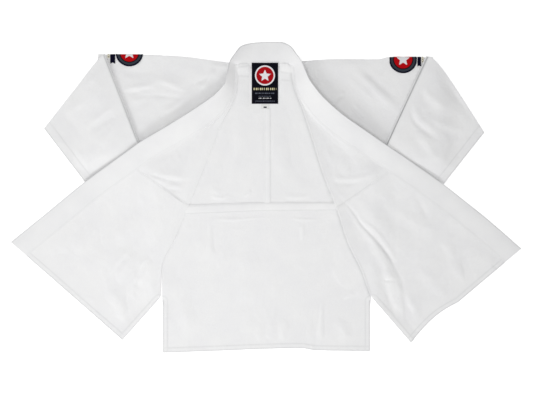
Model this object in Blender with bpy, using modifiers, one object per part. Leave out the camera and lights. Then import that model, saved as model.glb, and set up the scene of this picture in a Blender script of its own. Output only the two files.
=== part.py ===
"""Jiu-jitsu gi jacket, laid open on its back on a flat surface.

The fronts are turned back along their roll lines, so their insides and the inside of the
back face up. Each sleeve is folded down at the elbow, with the forearm on top.
+X goes from the left sleeve to the right one, as seen from above, +Y goes from the hem to
the collar, and +Z is up.
Sizes in this file are millimetres, and MM turns them into Blender's metres.
"""

import math

import bmesh
import bpy
import numpy as np

MM = 0.001
CLOTH = 1.5
BAND = 4.8
BAND_ROUND = 1.6
TAPE = 0.9
SEAM_TAPE = 0.6
LABEL = 0.7
PATCH = 0.8
GAP = 0.3
TUCK = 8.0
UNDER_BAND = BAND / 2 + GAP + CLOTH / 2 + 0.1

BACK_MID = CLOTH / 2
ON_BACK = CLOTH + GAP
FLOOR_MID = CLOTH / 2 + 0.06
COVER_MID = 8.15
COVER_RUN = 70.0
TURN_RUN = 35.0
NECK_RUN = 60.0
SIDE_RUN = 25.0
FADE_RUN = 40.0

# The middle of the whole jacket's box, which becomes the origin.
ORIGIN = (1.5, -1.0)
CENTRE_X = 5.5
WAIST_Y = -30.0
VENT_Y = -305.0
VENT_RUN = 30.0
SKIRT_FADE = 8.0
TAPE_ROOM = 25.0
SIDE_X = {"left": -284.6, "right": 290.0}
ARMPIT_Y = {"left": 121.0, "right": 115.0}

# The top edge of the back, which is also the fold of the shoulders and upper sleeves.
SHOULDER_COLUMNS = ("x", "y")
SHOULDER = (
    (-456.0, 391.0),
    (-340.0, 390.5),
    (-249.0, 387.0),
    (-100.0, 370.0),
    (-68.0, 366.0),
    (0.0, 369.0),
    (66.0, 366.0),
    (98.0, 373.0),
    (198.0, 379.0),
    (307.0, 378.0),
    (342.0, 384.0),
    (456.0, 383.5),
)

# The back hem, from the left vent to the right one.
HEM_COLUMNS = ("x", "y")
HEM = (
    (-282.0, -428.0),
    (-139.0, -423.0),
    (-1.0, -417.5),
    (95.0, -415.5),
    (140.0, -421.5),
    (287.0, -423.5),
)

# Sections of each turned-back front, from the neck to the hem. "out" is the collar band's
# free edge, "in" its seam, "roll" the visible fold, "side" the side seam of the layer
# below, low_z that layer's height and turn the radius of the fold.
FRONT_COLUMNS = (
    "out_x", "out_y", "out_z", "in_x", "in_y", "in_z",
    "roll_x", "roll_y", "side_x", "side_y", "low_z", "turn",
)
FRONT = {
    "left": (
        (-97.6, 370.0, 30.0, -80.0, 364.0, 10.0, -74.0, 362.0, -284.6, 388.8, 2.55, 1.2),
        (-111.0, 311.0, 31.0, -85.0, 299.0, 12.0, -80.0, 298.0, -284.6, 340.0, 3.20, 1.6),
        (-139.0, 280.0, 29.0, -108.0, 243.0, 14.0, -103.0, 245.0, -284.6, 295.0, 3.75, 2.2),
        (-187.0, 246.0, 27.0, -155.0, 198.0, 15.0, -119.0, 205.0, -284.6, 245.0, 3.75, 2.2),
        (-262.0, 199.0, 24.0, -232.0, 149.0, 15.5, -141.0, 148.0, -284.6, 180.0, 3.75, 2.2),
        (-345.0, 150.0, 20.0, -314.0, 101.0, 15.0, -172.0, 70.0, -284.6, 85.0, 3.75, 2.2),
        (-384.0, 122.0, 17.5, -350.0, 75.0, 13.5, -209.0, -22.0, -284.6, -30.0, 3.75, 2.2),
        (-494.0, 43.0, 7.5, -459.0, -3.0, 8.5, -246.0, -110.0, -284.6, -115.0, 3.75, 2.2),
        (-555.0, -6.0, 4.5, -519.0, -51.5, 6.2, -284.0, -195.0, -297.0, -192.0, 3.00, 1.8),
        (-600.0, -43.0, 3.0, -563.5, -88.0, 5.2, -288.0, -275.0, -299.0, -268.0, 2.55, 1.2),
        (-700.0, -124.0, 2.7, -656.0, -162.6, 4.5, -393.0, -393.0, -402.0, -385.0, 0.75, 1.2),
    ),
    "right": (
        (97.6, 372.6, 26.0, 72.0, 360.0, 10.0, 66.0, 358.0, 290.0, 377.2, 2.55, 1.2),
        (120.0, 322.0, 29.0, 84.0, 300.0, 12.0, 79.0, 300.0, 290.0, 335.0, 3.20, 1.6),
        (157.0, 274.0, 29.0, 118.0, 237.0, 14.0, 102.0, 240.0, 290.0, 285.0, 3.75, 2.2),
        (212.0, 225.0, 27.0, 176.0, 179.0, 15.0, 118.0, 190.0, 290.0, 235.0, 3.75, 2.2),
        (275.0, 181.0, 24.0, 242.0, 133.0, 15.5, 134.0, 140.0, 290.0, 170.0, 3.75, 2.2),
        (335.0, 140.0, 20.0, 302.6, 92.0, 15.0, 155.0, 72.0, 290.0, 80.0, 3.75, 2.2),
        (370.0, 117.0, 17.5, 337.0, 69.0, 13.5, 194.0, -29.0, 290.0, -30.0, 3.75, 2.2),
        (487.0, 36.0, 7.5, 452.5, -10.6, 8.5, 226.0, -125.0, 290.0, -122.0, 3.75, 2.2),
        (550.0, -13.0, 4.5, 514.0, -58.5, 6.2, 265.0, -205.0, 290.0, -200.0, 3.00, 1.8),
        (604.0, -56.0, 3.0, 567.0, -101.0, 5.2, 291.0, -275.0, 301.5, -268.5, 2.55, 1.2),
        (703.0, -142.0, 2.7, 658.4, -179.9, 4.5, 399.0, -400.0, 408.5, -392.0, 0.75, 1.2),
    ),
}
WAIST_ROW = 6
VENT_ROW = 9
# How far the front hem is drawn in near its vent corner.
HEM_DRAWN_IN = {"left": 0.0, "right": 14.0}

# The collar band behind the neck, between the two fronts' first sections.
NECK_COLUMNS = ("out_x", "out_y", "out_z", "in_x", "in_y", "in_z")
NECK = (
    (-84.0, 393.0, 22.0, -65.0, 363.0, 8.5),
    (-67.0, 414.0, 13.0, -48.0, 362.5, 6.8),
    (-37.0, 423.0, 5.0, -28.0, 362.0, 5.0),
    (5.5, 426.0, 2.7, 3.0, 361.5, 4.4),
    (40.0, 426.0, 5.0, 30.0, 361.5, 5.0),
    (67.0, 415.0, 12.0, 48.0, 361.5, 6.8),
    (84.0, 393.0, 20.0, 61.0, 361.0, 8.5),
)

# Each sleeve is a flattened tube, folded over its hidden crease and back over its visible
# crease, which meet near the top edge.
SLEEVE = {
    "left": {
        "under_top": (-456.0, 391.0),
        "under_low": (-473.0, 121.0),
        "over_top": (-444.0, 390.5),
        "over_low": (-346.0, 140.0),
        "cuff_top": (-608.0, 188.0),
        "cuff_low": (-496.0, 41.0),
        "bulge": 3.0,
    },
    "right": {
        "under_top": (456.0, 383.5),
        "under_low": (471.6, 110.0),
        "over_top": (444.0, 384.0),
        "over_low": (331.0, 140.0),
        "cuff_top": (601.0, 177.0),
        "cuff_low": (490.0, 36.0),
        "bulge": 13.0,
    },
}
LAYER_HALF = 1.2
SLEEVE_MID = LAYER_HALF + CLOTH / 2
FOLD_RADIUS = 2.4
DRAPE_RUN = 60.0

# The largest folds of the turned-back fronts and forearms, as soft ridges.
RIDGE_COLUMNS = ("x0", "y0", "x1", "y1", "height", "half_width")
RIDGES = {
    "front_left": (
        (-305.0, 55.0, -215.0, 50.0, 3.0, 16.0),
        (-365.0, -140.0, -420.0, -235.0, 4.0, 22.0),
        (-318.0, -165.0, -357.0, -245.0, 4.0, 20.0),
    ),
    "front_right": (
        (172.0, 42.0, 250.0, 38.0, 3.5, 14.0),
        (255.0, -20.0, 375.0, -150.0, 4.0, 24.0),
        (330.0, -185.0, 370.0, -330.0, 5.0, 22.0),
    ),
    "back_skirt": (
        (-153.0, -95.0, -153.0, -165.0, 2.0, 16.0),
        (157.0, -290.0, 152.0, -400.0, 2.5, 18.0),
        (20.0, -335.0, 40.0, -400.0, 2.0, 18.0),
    ),
    "sleeve_left": ((-492.0, 300.0, -430.0, 215.0, 3.0, 18.0),),
    "sleeve_right": ((402.0, 255.0, 470.0, 170.0, 3.5, 18.0),),
}

LABEL_BOX = (-39.0, 36.0, 255.0, 370.0)
LABEL_RISES = (338.0, 357.0)
LABEL_ON_BAND = 6.8 + GAP
LABEL_SIDES_RISE = 2.4
SIZE_TAB_BOX = (-12.0, 10.0, 242.0, 254.6)
SIZE_TAB = 0.5
CENTRE_TAPE_HALF = 8.0
CENTRE_TAPE_TOP = 241.6
WAIST_TAPE_COLUMNS = ("x", "top", "bottom")
WAIST_TAPE = (
    (-255.0, -24.0, -49.0),
    (-120.0, -19.0, -44.0),
    (0.0, -16.0, -39.0),
    (258.0, -15.0, -37.0),
)

# Woven patches at the top of each sleeve: a round one cut by the fold, and two narrow ones.
# The round one's middle is this far down from the fold, and less than 0 is past it.
ROUND_PATCH = {
    "left": {"middle": -374.0, "radius": 38.0, "down": -3.0},
    "right": {"middle": 378.0, "radius": 38.0, "down": 9.0},
}
ROUND_PATCH_TIP = 0.98
STRIPES = {
    "left": {
        "wide": {"from_x": -426.5, "to_x": -413.0, "down": 28.0},
        "narrow": {"from_x": -434.0, "to_x": -428.0, "down": 12.0},
    },
    "right": {
        "wide": {"from_x": 417.5, "to_x": 427.0, "down": 28.0},
        "narrow": {"from_x": 429.0, "to_x": 434.0, "down": 17.0},
    },
}

COLOURS = {
    "cloth": (0.84, 0.85, 0.84),
    "band": (0.82, 0.83, 0.82),
    "tape": (0.86, 0.86, 0.85),
    "label": (0.012, 0.012, 0.035),
    "tab": (0.85, 0.85, 0.84),
    "patch": (0.45, 0.02, 0.03),
    "stripe": (0.02, 0.02, 0.05),
}


def clear_scene():
    for obj in list(bpy.data.objects):
        bpy.data.objects.remove(obj)


def table(columns, rows):
    """A table's columns as arrays, by name."""
    values = np.array(rows, float)
    return {name: values[:, i] for i, name in enumerate(columns)}


def smooth(x):
    """0 to 1 with level ends."""
    x = np.clip(x, 0.0, 1.0)
    return x * x * (3.0 - 2.0 * x)


def slopes(knots, values):
    """Slopes of a curve that never swings past its rows."""
    steps = np.diff(knots)
    rises = np.diff(values) / steps
    found = np.zeros(len(values))
    found[0] = rises[0]
    found[-1] = rises[-1]
    for i in range(1, len(values) - 1):
        before = rises[i - 1]
        after = rises[i]
        if before * after > 0.0:
            wide = 2.0 * steps[i] + steps[i - 1]
            near = steps[i] + 2.0 * steps[i - 1]
            found[i] = (wide + near) / (wide / before + near / after)
    return found


def through(knots, values, at):
    """The smooth curve through a column of rows, at one place."""
    at = min(max(at, knots[0]), knots[-1])
    i = int(min(np.searchsorted(knots, at, side="right") - 1, len(knots) - 2))
    step = knots[i + 1] - knots[i]
    f = (at - knots[i]) / step
    slope = slopes(knots, values)
    return (
        values[i] * (1 + 2 * f) * (1 - f) ** 2
        + slope[i] * step * f * (1 - f) ** 2
        + values[i + 1] * f * f * (3 - 2 * f)
        + slope[i + 1] * step * f * f * (f - 1)
    )


def lengths(x, y):
    """The distance along a row of points, at each of them."""
    return np.concatenate([[0.0], np.cumsum(np.hypot(np.diff(x), np.diff(y)))])


SHOULDER_TABLE = table(SHOULDER_COLUMNS, SHOULDER)
HEM_TABLE = table(HEM_COLUMNS, HEM)
TAPE_TABLE = table(WAIST_TAPE_COLUMNS, WAIST_TAPE)
FRONT_TABLE = {side: table(FRONT_COLUMNS, rows) for side, rows in FRONT.items()}
FRONT_KNOTS = {side: lengths(t["out_x"], t["out_y"]) for side, t in FRONT_TABLE.items()}


def shoulder_y(x):
    return through(SHOULDER_TABLE["x"], SHOULDER_TABLE["y"], x)


def unit(x, y):
    long = math.hypot(x, y)
    return np.array([x / long, y / long])


def between(a, b, f):
    return np.array(a, float) * (1.0 - f) + np.array(b, float) * f


def ridge(group, x, y):
    """How much the group's ridges lift the cloth at one place."""
    lift = 0.0
    for values in RIDGES[group]:
        row = dict(zip(RIDGE_COLUMNS, values))
        start = np.array([row["x0"], row["y0"]])
        along = np.array([row["x1"], row["y1"]]) - start
        from_start = np.array([x, y]) - start
        f = np.clip(from_start @ along / (along @ along), 0.0, 1.0)
        off = np.linalg.norm(from_start - f * along)
        lift += row["height"] * math.exp(-((off / row["half_width"]) ** 2))
    return lift


def cover_z(side, x, y):
    """Middle height of a turned-back front over the body and sleeve, and off them."""
    past_side = smooth((abs(x) - abs(SIDE_X[side])) / COVER_RUN)
    past_sleeve = smooth((ARMPIT_Y[side] - y) / COVER_RUN)
    return COVER_MID + (FLOOR_MID - COVER_MID) * past_side * past_sleeve


def front_section(side, s):
    """One section of a front, s millimetres down its lapel from the neck."""
    found = {
        name: through(FRONT_KNOTS[side], column, s)
        for name, column in FRONT_TABLE[side].items()
    }
    if s > FRONT_KNOTS[side][VENT_ROW]:
        last = FRONT_KNOTS[side][-1] - FRONT_KNOTS[side][VENT_ROW]
        f = (s - FRONT_KNOTS[side][VENT_ROW]) / last
        for name in ("roll_x", "roll_y", "side_x", "side_y"):
            rows = FRONT_TABLE[side][name]
            found[name] = rows[VENT_ROW] * (1 - f) + rows[-1] * f
    return found


def roll_normal(side, s):
    """The direction square to the roll line, towards the middle of the jacket."""
    a = front_section(side, s - 4.0)
    b = front_section(side, s + 4.0)
    along = unit(b["roll_x"] - a["roll_x"], b["roll_y"] - a["roll_y"])
    square = np.array([-along[1], along[0]])
    return square if side == "left" else -square


LEG_CELLS = 5
TURN_CELLS = 4
COVER_CELLS = 9
FRONT_CELLS = LEG_CELLS + TURN_CELLS + COVER_CELLS + 1


def front_point(side, s, v):
    """The middle of a front's cloth: the layer below, the roll, the layer on top and the
    edge tucked under the collar band, as v goes from 0 to 1."""
    row = front_section(side, s)
    inward = roll_normal(side, s)
    reach = row["turn"] + CLOTH / 2
    roll = np.array([row["roll_x"], row["roll_y"]]) - inward * reach
    below = np.array([row["side_x"], row["side_y"]])
    seam = np.array([row["in_x"], row["in_y"]])
    out = np.array([row["out_x"], row["out_y"]])
    cell = v * FRONT_CELLS
    top_z = row["low_z"] + 2 * row["turn"]
    if cell <= LEG_CELLS:
        f = cell / LEG_CELLS
        place = between(below, roll, f)
        near_neck = 1.0 - smooth(s / NECK_RUN)
        place[1] += (shoulder_y(place[0]) - place[1]) * near_neck * (1.0 - f**6)
        side_z = min(row["low_z"], ON_BACK + CLOTH / 2)
        from_side = np.linalg.norm(place - below)
        z = side_z + (row["low_z"] - side_z) * smooth(from_side / SIDE_RUN)
    elif cell <= LEG_CELLS + TURN_CELLS:
        angle = math.pi * (cell - LEG_CELLS) / TURN_CELLS
        place = roll + inward * row["turn"] * math.sin(angle)
        z = row["low_z"] + row["turn"] * (1.0 - math.cos(angle))
    elif cell <= FRONT_CELLS - 1:
        f = (cell - LEG_CELLS - TURN_CELLS) / COVER_CELLS
        place = between(roll, seam, f)
        if s > FRONT_KNOTS[side][VENT_ROW]:
            past = s - FRONT_KNOTS[side][VENT_ROW]
            share = past / (FRONT_KNOTS[side][-1] - FRONT_KNOTS[side][VENT_ROW])
            drawn = HEM_DRAWN_IN[side] * smooth(share) * math.sin(math.pi * min(2 * f, 1.0))
            place[1] += drawn
        run = np.linalg.norm(place - roll)
        seam_z = row["in_z"] - UNDER_BAND
        over = cover_z(side, *place)
        turned = (top_z - cover_z(side, *roll)) * (1.0 - smooth(run / TURN_RUN))
        raised = (seam_z - cover_z(side, *seam)) * smooth(f) * f
        fades = smooth(run / FADE_RUN) * smooth(np.linalg.norm(seam - place) / FADE_RUN)
        z = over + turned + raised + ridge("front_" + side, *place) * fades
    else:
        f = cell - FRONT_CELLS + 1
        place = seam + unit(*(out - seam)) * TUCK * f
        fall = min(row["out_z"] - row["in_z"], 0.0) / np.linalg.norm(out - seam)
        z = row["in_z"] - UNDER_BAND + fall * TUCK * f
    return place[0], place[1], z


def band_rows():
    """The collar band's sections from the left end, behind the neck, to the right end."""
    columns = {}
    neck = table(NECK_COLUMNS, NECK)
    for name in NECK_COLUMNS:
        left = FRONT_TABLE["left"][name][::-1]
        columns[name] = np.concatenate([left, neck[name], FRONT_TABLE["right"][name]])
    return columns


BAND_TABLE = band_rows()
BAND_KNOTS = lengths(BAND_TABLE["out_x"], BAND_TABLE["out_y"])


def band_point(s, f):
    """The middle of the band, s along its free edge and f from its seam to that edge."""
    row = {name: through(BAND_KNOTS, column, s) for name, column in BAND_TABLE.items()}
    seam = np.array([row["in_x"], row["in_y"], row["in_z"]])
    out = np.array([row["out_x"], row["out_y"], row["out_z"]])
    return tuple(between(seam, out, f))


def back_point(side, u, v):
    """The middle of an upper back half, from the side to the centre seam."""
    middle = CENTRE_X + (-GAP / 2 if side == "left" else GAP / 2)
    x = SIDE_X[side] * (1 - u) + middle * u
    low = WAIST_Y + GAP / 2
    return x, low + (shoulder_y(x) - low) * v, BACK_MID


def skirt_point(u, v):
    """The middle of the back skirt, from left to right and from the hem up."""
    hem_x = HEM_TABLE["x"][0] * (1 - u) + HEM_TABLE["x"][-1] * u
    hem_y = through(HEM_TABLE["x"], HEM_TABLE["y"], hem_x)
    waist_x = SIDE_X["left"] * (1 - u) + SIDE_X["right"] * u
    y = hem_y + (WAIST_Y - GAP / 2 - hem_y) * v
    x = hem_x + (waist_x - hem_x) * smooth((y - VENT_Y) / VENT_RUN)
    from_sides = smooth(u * SKIRT_FADE) * smooth((1.0 - u) * SKIRT_FADE)
    from_ends = smooth(v * SKIRT_FADE) * smooth((WAIST_Y - TAPE_ROOM - y) / FADE_RUN)
    return x, y, BACK_MID + ridge("back_skirt", x, y) * from_sides * from_ends


UPPER_ARM_CELLS = 5
FOLD_CELLS = 4
HIDDEN_CELLS = 1
FOREARM_CELLS = 8
SLEEVE_CELLS = UPPER_ARM_CELLS + 2 * FOLD_CELLS + HIDDEN_CELLS + FOREARM_CELLS
RUN_CELLS = 7
EDGE_CELLS = 4
RING_CELLS = 2 * (RUN_CELLS + EDGE_CELLS)


def sleeve_frame(side, cell):
    """Ends of a sleeve's flattened ring, its middle height and the way to its upper layer."""
    s = SLEEVE[side]
    armhole_x = SIDE_X[side] + (-GAP if side == "left" else GAP)
    under = unit(s["under_top"][1] - s["under_low"][1], s["under_low"][0] - s["under_top"][0])
    over = unit(s["over_top"][1] - s["over_low"][1], s["over_low"][0] - s["over_top"][0])
    outward = -under if side == "left" else under
    inward = over if side == "left" else -over
    after_arm = cell - UPPER_ARM_CELLS
    after_under = after_arm - FOLD_CELLS
    after_hidden = after_under - HIDDEN_CELLS
    after_over = after_hidden - FOLD_CELLS
    if after_arm <= 0:
        f = cell / UPPER_ARM_CELLS
        top_x = armhole_x + (s["under_top"][0] - armhole_x) * f
        low = between((armhole_x, ARMPIT_Y[side]), s["under_low"], f)
        return np.array([top_x, shoulder_y(top_x)]), low, SLEEVE_MID, np.array([0.0, 0.0, 1.0])
    if after_under <= 0:
        angle = math.pi * after_arm / FOLD_CELLS
        shift = outward * FOLD_RADIUS * math.sin(angle)
        z = SLEEVE_MID + FOLD_RADIUS * (1 - math.cos(angle))
        up = np.array([*(-outward * math.sin(angle)), math.cos(angle)])
        return s["under_top"] + shift, s["under_low"] + shift, z, up
    if after_hidden <= 0:
        f = after_under / HIDDEN_CELLS
        top = between(s["under_top"], s["over_top"], f)
        low = between(s["under_low"], s["over_low"], f)
        return top, low, SLEEVE_MID + 2 * FOLD_RADIUS, np.array([0.0, 0.0, -1.0])
    if after_over <= 0:
        angle = math.pi * after_hidden / FOLD_CELLS
        shift = inward * FOLD_RADIUS * math.sin(angle)
        z = SLEEVE_MID + 2 * FOLD_RADIUS + FOLD_RADIUS * (1 - math.cos(angle))
        up = np.array([*(inward * math.sin(angle)), -math.cos(angle)])
        return s["over_top"] + shift, s["over_low"] + shift, z, up
    f = after_over / FOREARM_CELLS
    top = between(s["over_top"], s["cuff_top"], f)
    low = between(s["over_low"], s["cuff_low"], f)
    square = unit(s["over_top"][1] - s["cuff_top"][1], s["cuff_top"][0] - s["over_top"][0])
    away = -square if side == "left" else square
    top = top + away * s["bulge"] * math.sin(math.pi * math.sqrt(f))
    return top, low, None, np.array([0.0, 0.0, 1.0])


def drape_z(side, x, y):
    """Middle height of a forearm over the folded layers and down to the floor."""
    s = SLEEVE[side]
    f = (s["under_top"][1] - y) / (s["under_top"][1] - s["under_low"][1])
    crease_x = abs(s["under_top"][0]) * (1 - f) + abs(s["under_low"][0]) * f
    past = max(abs(x) - crease_x - 2 * FOLD_RADIUS, 0.0)
    below = max(s["under_low"][1] - y, 0.0)
    return SLEEVE_MID + 4 * FOLD_RADIUS * (1.0 - smooth(math.hypot(past, below) / DRAPE_RUN))


def sleeve_point(side, cell, ring):
    """The middle of a sleeve's cloth, along its length and round its flattened ring."""
    top, low, z, up = sleeve_frame(side, cell)
    wide = np.linalg.norm(low - top)
    around = (ring % 1.0) * RING_CELLS
    if around <= RUN_CELLS:
        across = LAYER_HALF + (wide - 2 * LAYER_HALF) * around / RUN_CELLS
        rise = -LAYER_HALF
    elif around <= RUN_CELLS + EDGE_CELLS:
        angle = math.pi * (around - RUN_CELLS) / EDGE_CELLS
        across = wide - LAYER_HALF + LAYER_HALF * math.sin(angle)
        rise = -LAYER_HALF * math.cos(angle)
    elif around <= 2 * RUN_CELLS + EDGE_CELLS:
        f = (around - RUN_CELLS - EDGE_CELLS) / RUN_CELLS
        across = wide - LAYER_HALF - (wide - 2 * LAYER_HALF) * f
        rise = LAYER_HALF
    else:
        angle = math.pi * (around - 2 * RUN_CELLS - EDGE_CELLS) / EDGE_CELLS
        across = LAYER_HALF - LAYER_HALF * math.sin(angle)
        rise = LAYER_HALF * math.cos(angle)
    x, y = between(top, low, across / wide)
    if z is None:
        z = drape_z(side, x, y)
        past_fold = cell - (SLEEVE_CELLS - FOREARM_CELLS)
        inside = smooth(across / FADE_RUN) * smooth((wide - across) / FADE_RUN)
        z += ridge("sleeve_" + side, x, y) * inside * smooth(past_fold / 2.0)
    return x + up[0] * rise, y + up[1] * rise, z + up[2] * rise


def label_point(u, v):
    """The middle of the neck label, on the back and up over the band's seam."""
    left, right, low, high = LABEL_BOX
    y = low + (high - low) * v
    rise = smooth((y - LABEL_RISES[0]) / (LABEL_RISES[1] - LABEL_RISES[0]))
    on_band = LABEL_ON_BAND + LABEL_SIDES_RISE * (2 * u - 1) ** 2
    z = ON_BACK + (on_band - ON_BACK) * rise + LABEL / 2
    return left + (right - left) * u, y, z


def tab_point(u, v):
    left, right, low, high = SIZE_TAB_BOX
    return left + (right - left) * u, low + (high - low) * v, ON_BACK + SIZE_TAB / 2


def centre_tape_point(u, v):
    low = through(TAPE_TABLE["x"], TAPE_TABLE["top"], CENTRE_X) + GAP
    x = CENTRE_X + CENTRE_TAPE_HALF * (2 * u - 1)
    return x, low + (CENTRE_TAPE_TOP - low) * v, ON_BACK + SEAM_TAPE / 2


def waist_tape_point(u, v):
    x = TAPE_TABLE["x"][0] * (1 - u) + TAPE_TABLE["x"][-1] * u
    low = through(TAPE_TABLE["x"], TAPE_TABLE["bottom"], x)
    high = through(TAPE_TABLE["x"], TAPE_TABLE["top"], x)
    return x, low + (high - low) * v, ON_BACK + TAPE / 2


def sleeve_top_y(side, x):
    """The sleeve's top edge as its cells run, straight from one to the next."""
    armhole_x = sleeve_frame(side, 0)[0][0]
    cell = (x - armhole_x) / (SLEEVE[side]["under_top"][0] - armhole_x) * UPPER_ARM_CELLS
    first = math.floor(cell)
    ends = [sleeve_frame(side, first + step)[0][1] for step in (0, 1)]
    return ends[0] + (ends[1] - ends[0]) * (cell - first)


def on_sleeve_top(side, x, deep, v):
    """A place on a patch on the upper sleeve, from its top fold to deep below it. Half of v
    goes round the fold."""
    radius = LAYER_HALF + CLOTH / 2 + GAP + PATCH / 2
    quarter = radius * math.pi / 2
    top_y = sleeve_top_y(side, x)
    round_fold = min(deep, quarter)
    down = round_fold * min(2 * v, 1.0) + (deep - round_fold) * max(2 * v - 1, 0.0)
    if down < quarter:
        angle = down / radius
        y = top_y - LAYER_HALF + radius * math.cos(angle)
        return x, y, SLEEVE_MID + radius * math.sin(angle)
    return x, top_y - LAYER_HALF - (down - quarter), SLEEVE_MID + radius


def round_patch_point(side, u, v):
    """The half of the round patch that shows, from the fold down to its rim."""
    patch = ROUND_PATCH[side]
    radius = patch["radius"]
    half = math.sqrt(radius**2 - min(patch["down"], 0.0) ** 2) * ROUND_PATCH_TIP
    x = patch["middle"] - half * math.cos(math.pi * u)
    deep = patch["down"] + math.sqrt(radius**2 - (x - patch["middle"]) ** 2)
    return on_sleeve_top(side, x, max(deep, 1.0), v)


def stripe_point(side, name, u, v):
    stripe = STRIPES[side][name]
    x = stripe["from_x"] + (stripe["to_x"] - stripe["from_x"]) * u
    return on_sleeve_top(side, x, stripe["down"], v)


def material(name, roughness=0.9):
    found = bpy.data.materials.new(name)
    found.use_nodes = True
    shader = found.node_tree.nodes["Principled BSDF"]
    shader.inputs["Base Color"].default_value = (*COLOURS[name], 1.0)
    shader.inputs["Roughness"].default_value = roughness
    shader.inputs["Metallic"].default_value = 0.0
    return found


def cloth_piece(name, slot, cells_u, cells_v, place, thick, closed=False, rounded=0.0):
    """A sheet from a plain grid, each point put in its place, with the cloth's thickness."""
    bpy.ops.mesh.primitive_grid_add(x_subdivisions=cells_u, y_subdivisions=cells_v, size=1.0)
    obj = bpy.context.active_object
    obj.name = name
    obj.data.name = name
    for vertex in obj.data.vertices:
        x, y, z = place(vertex.co.x + 0.5, vertex.co.y + 0.5)
        vertex.co = ((x - ORIGIN[0]) * MM, (y - ORIGIN[1]) * MM, z * MM)
    mesh = bmesh.new()
    mesh.from_mesh(obj.data)
    if closed:
        bmesh.ops.remove_doubles(mesh, verts=mesh.verts, dist=0.01 * MM)
    bmesh.ops.recalc_face_normals(mesh, faces=mesh.faces)
    mesh.to_mesh(obj.data)
    mesh.free()
    wall = obj.modifiers.new("thickness", "SOLIDIFY")
    wall.thickness = thick * MM
    wall.offset = 0.0
    wall.use_even_offset = True
    wall.use_quality_normals = True
    if rounded:
        edge = obj.modifiers.new("rounded edges", "BEVEL")
        edge.width = rounded * MM
        edge.segments = 2
        edge.limit_method = "ANGLE"
        edge.angle_limit = math.radians(60.0)
    obj.data.materials.append(bpy.data.materials[slot])
    obj.data.shade_smooth()
    obj.data.set_sharp_from_angle(angle=math.radians(40.0))
    return obj


def build_back():
    for side in ("left", "right"):
        cloth_piece(
            "back_" + side, "cloth", 8, 6,
            lambda u, v, side=side: back_point(side, u, v), CLOTH,
        )
    cloth_piece("back_skirt", "cloth", 22, 16, skirt_point, CLOTH)
    cloth_piece("centre_back_tape", "tape", 1, 4, centre_tape_point, SEAM_TAPE)
    cloth_piece("waist_tape", "tape", 10, 1, waist_tape_point, TAPE)


def build_front(side):
    """A front's two pieces, with a row of points at the waist seam and at the vent."""
    knots = FRONT_KNOTS[side]
    waist = knots[WAIST_ROW]
    pieces = {
        "upper": ((0.0, 1.0), (knots[0], waist - GAP / 2), 11),
        "skirt": ((0.0, 0.5, 1.0), (waist + GAP / 2, knots[VENT_ROW], knots[-1]), 12),
    }
    for name, (shares, stops, cells) in pieces.items():
        cloth_piece(
            f"front_{side}_{name}", "cloth", cells, FRONT_CELLS,
            lambda u, v, a=shares, b=stops: front_point(side, float(np.interp(u, a, b)), v),
            CLOTH,
        )


def build_sleeve(side):
    cloth_piece(
        "sleeve_" + side, "cloth", SLEEVE_CELLS, RING_CELLS,
        lambda u, v: sleeve_point(side, u * SLEEVE_CELLS, v), CLOTH, closed=True,
    )


def build_band():
    long = BAND_KNOTS[-1]
    cloth_piece(
        "collar_band", "band", 64, 2,
        lambda u, v: band_point(long * u, v), BAND, rounded=BAND_ROUND,
    )


def build_trim():
    cloth_piece("neck_label", "label", 2, 14, label_point, LABEL)
    cloth_piece("size_tab", "tab", 1, 1, tab_point, SIZE_TAB)
    for side in ("left", "right"):
        cloth_piece(
            "round_patch_" + side, "patch", 10, 6,
            lambda u, v, side=side: round_patch_point(side, u, v), PATCH,
        )
        for name in STRIPES[side]:
            cloth_piece(
                f"{name}_stripe_{side}", "stripe", 1, 6,
                lambda u, v, side=side, name=name: stripe_point(side, name, u, v), PATCH,
            )


def gather_pieces():
    """Puts every piece in one collection and under one empty at the origin."""
    pieces = [obj for obj in bpy.data.objects if obj.type == "MESH"]
    jacket = bpy.data.collections.new("jiu_jitsu_gi_jacket")
    bpy.context.scene.collection.children.link(jacket)
    root = bpy.data.objects.new("jacket_root", None)
    jacket.objects.link(root)
    for obj in pieces:
        for home in list(obj.users_collection):
            home.objects.unlink(obj)
        jacket.objects.link(obj)
        obj.parent = root


def build():
    clear_scene()
    for name in COLOURS:
        material(name)
    build_back()
    for side in ("left", "right"):
        build_front(side)
        build_sleeve(side)
    build_band()
    build_trim()
    gather_pieces()


build()
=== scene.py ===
import math

import bmesh
import bpy
import numpy as np
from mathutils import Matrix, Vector
from mathutils.bvhtree import BVHTree


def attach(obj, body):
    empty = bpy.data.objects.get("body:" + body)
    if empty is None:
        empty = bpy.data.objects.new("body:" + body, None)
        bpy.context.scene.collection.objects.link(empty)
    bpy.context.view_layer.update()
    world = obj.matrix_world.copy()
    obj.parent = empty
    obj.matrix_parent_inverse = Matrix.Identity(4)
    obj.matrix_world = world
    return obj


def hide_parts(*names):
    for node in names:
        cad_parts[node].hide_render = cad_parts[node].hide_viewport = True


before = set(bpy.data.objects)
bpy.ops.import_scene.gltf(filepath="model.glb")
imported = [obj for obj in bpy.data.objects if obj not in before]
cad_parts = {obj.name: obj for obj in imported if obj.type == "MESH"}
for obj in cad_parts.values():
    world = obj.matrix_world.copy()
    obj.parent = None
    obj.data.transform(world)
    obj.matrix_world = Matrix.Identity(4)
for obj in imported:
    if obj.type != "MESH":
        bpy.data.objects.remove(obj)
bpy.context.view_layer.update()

MM = 0.001
CLOTH = 1.5
BAND = 4.8
GAP = 0.3
TUCK = 8.0
UNDER_BAND = BAND / 2 + GAP + CLOTH / 2 + 0.1
ON_BACK = CLOTH + GAP
BACK_MID = CLOTH / 2
FLOOR_MID = CLOTH / 2 + 0.06
COVER_MID = 8.15
COVER_RUN = 70.0
TURN_RUN = 35.0
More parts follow.
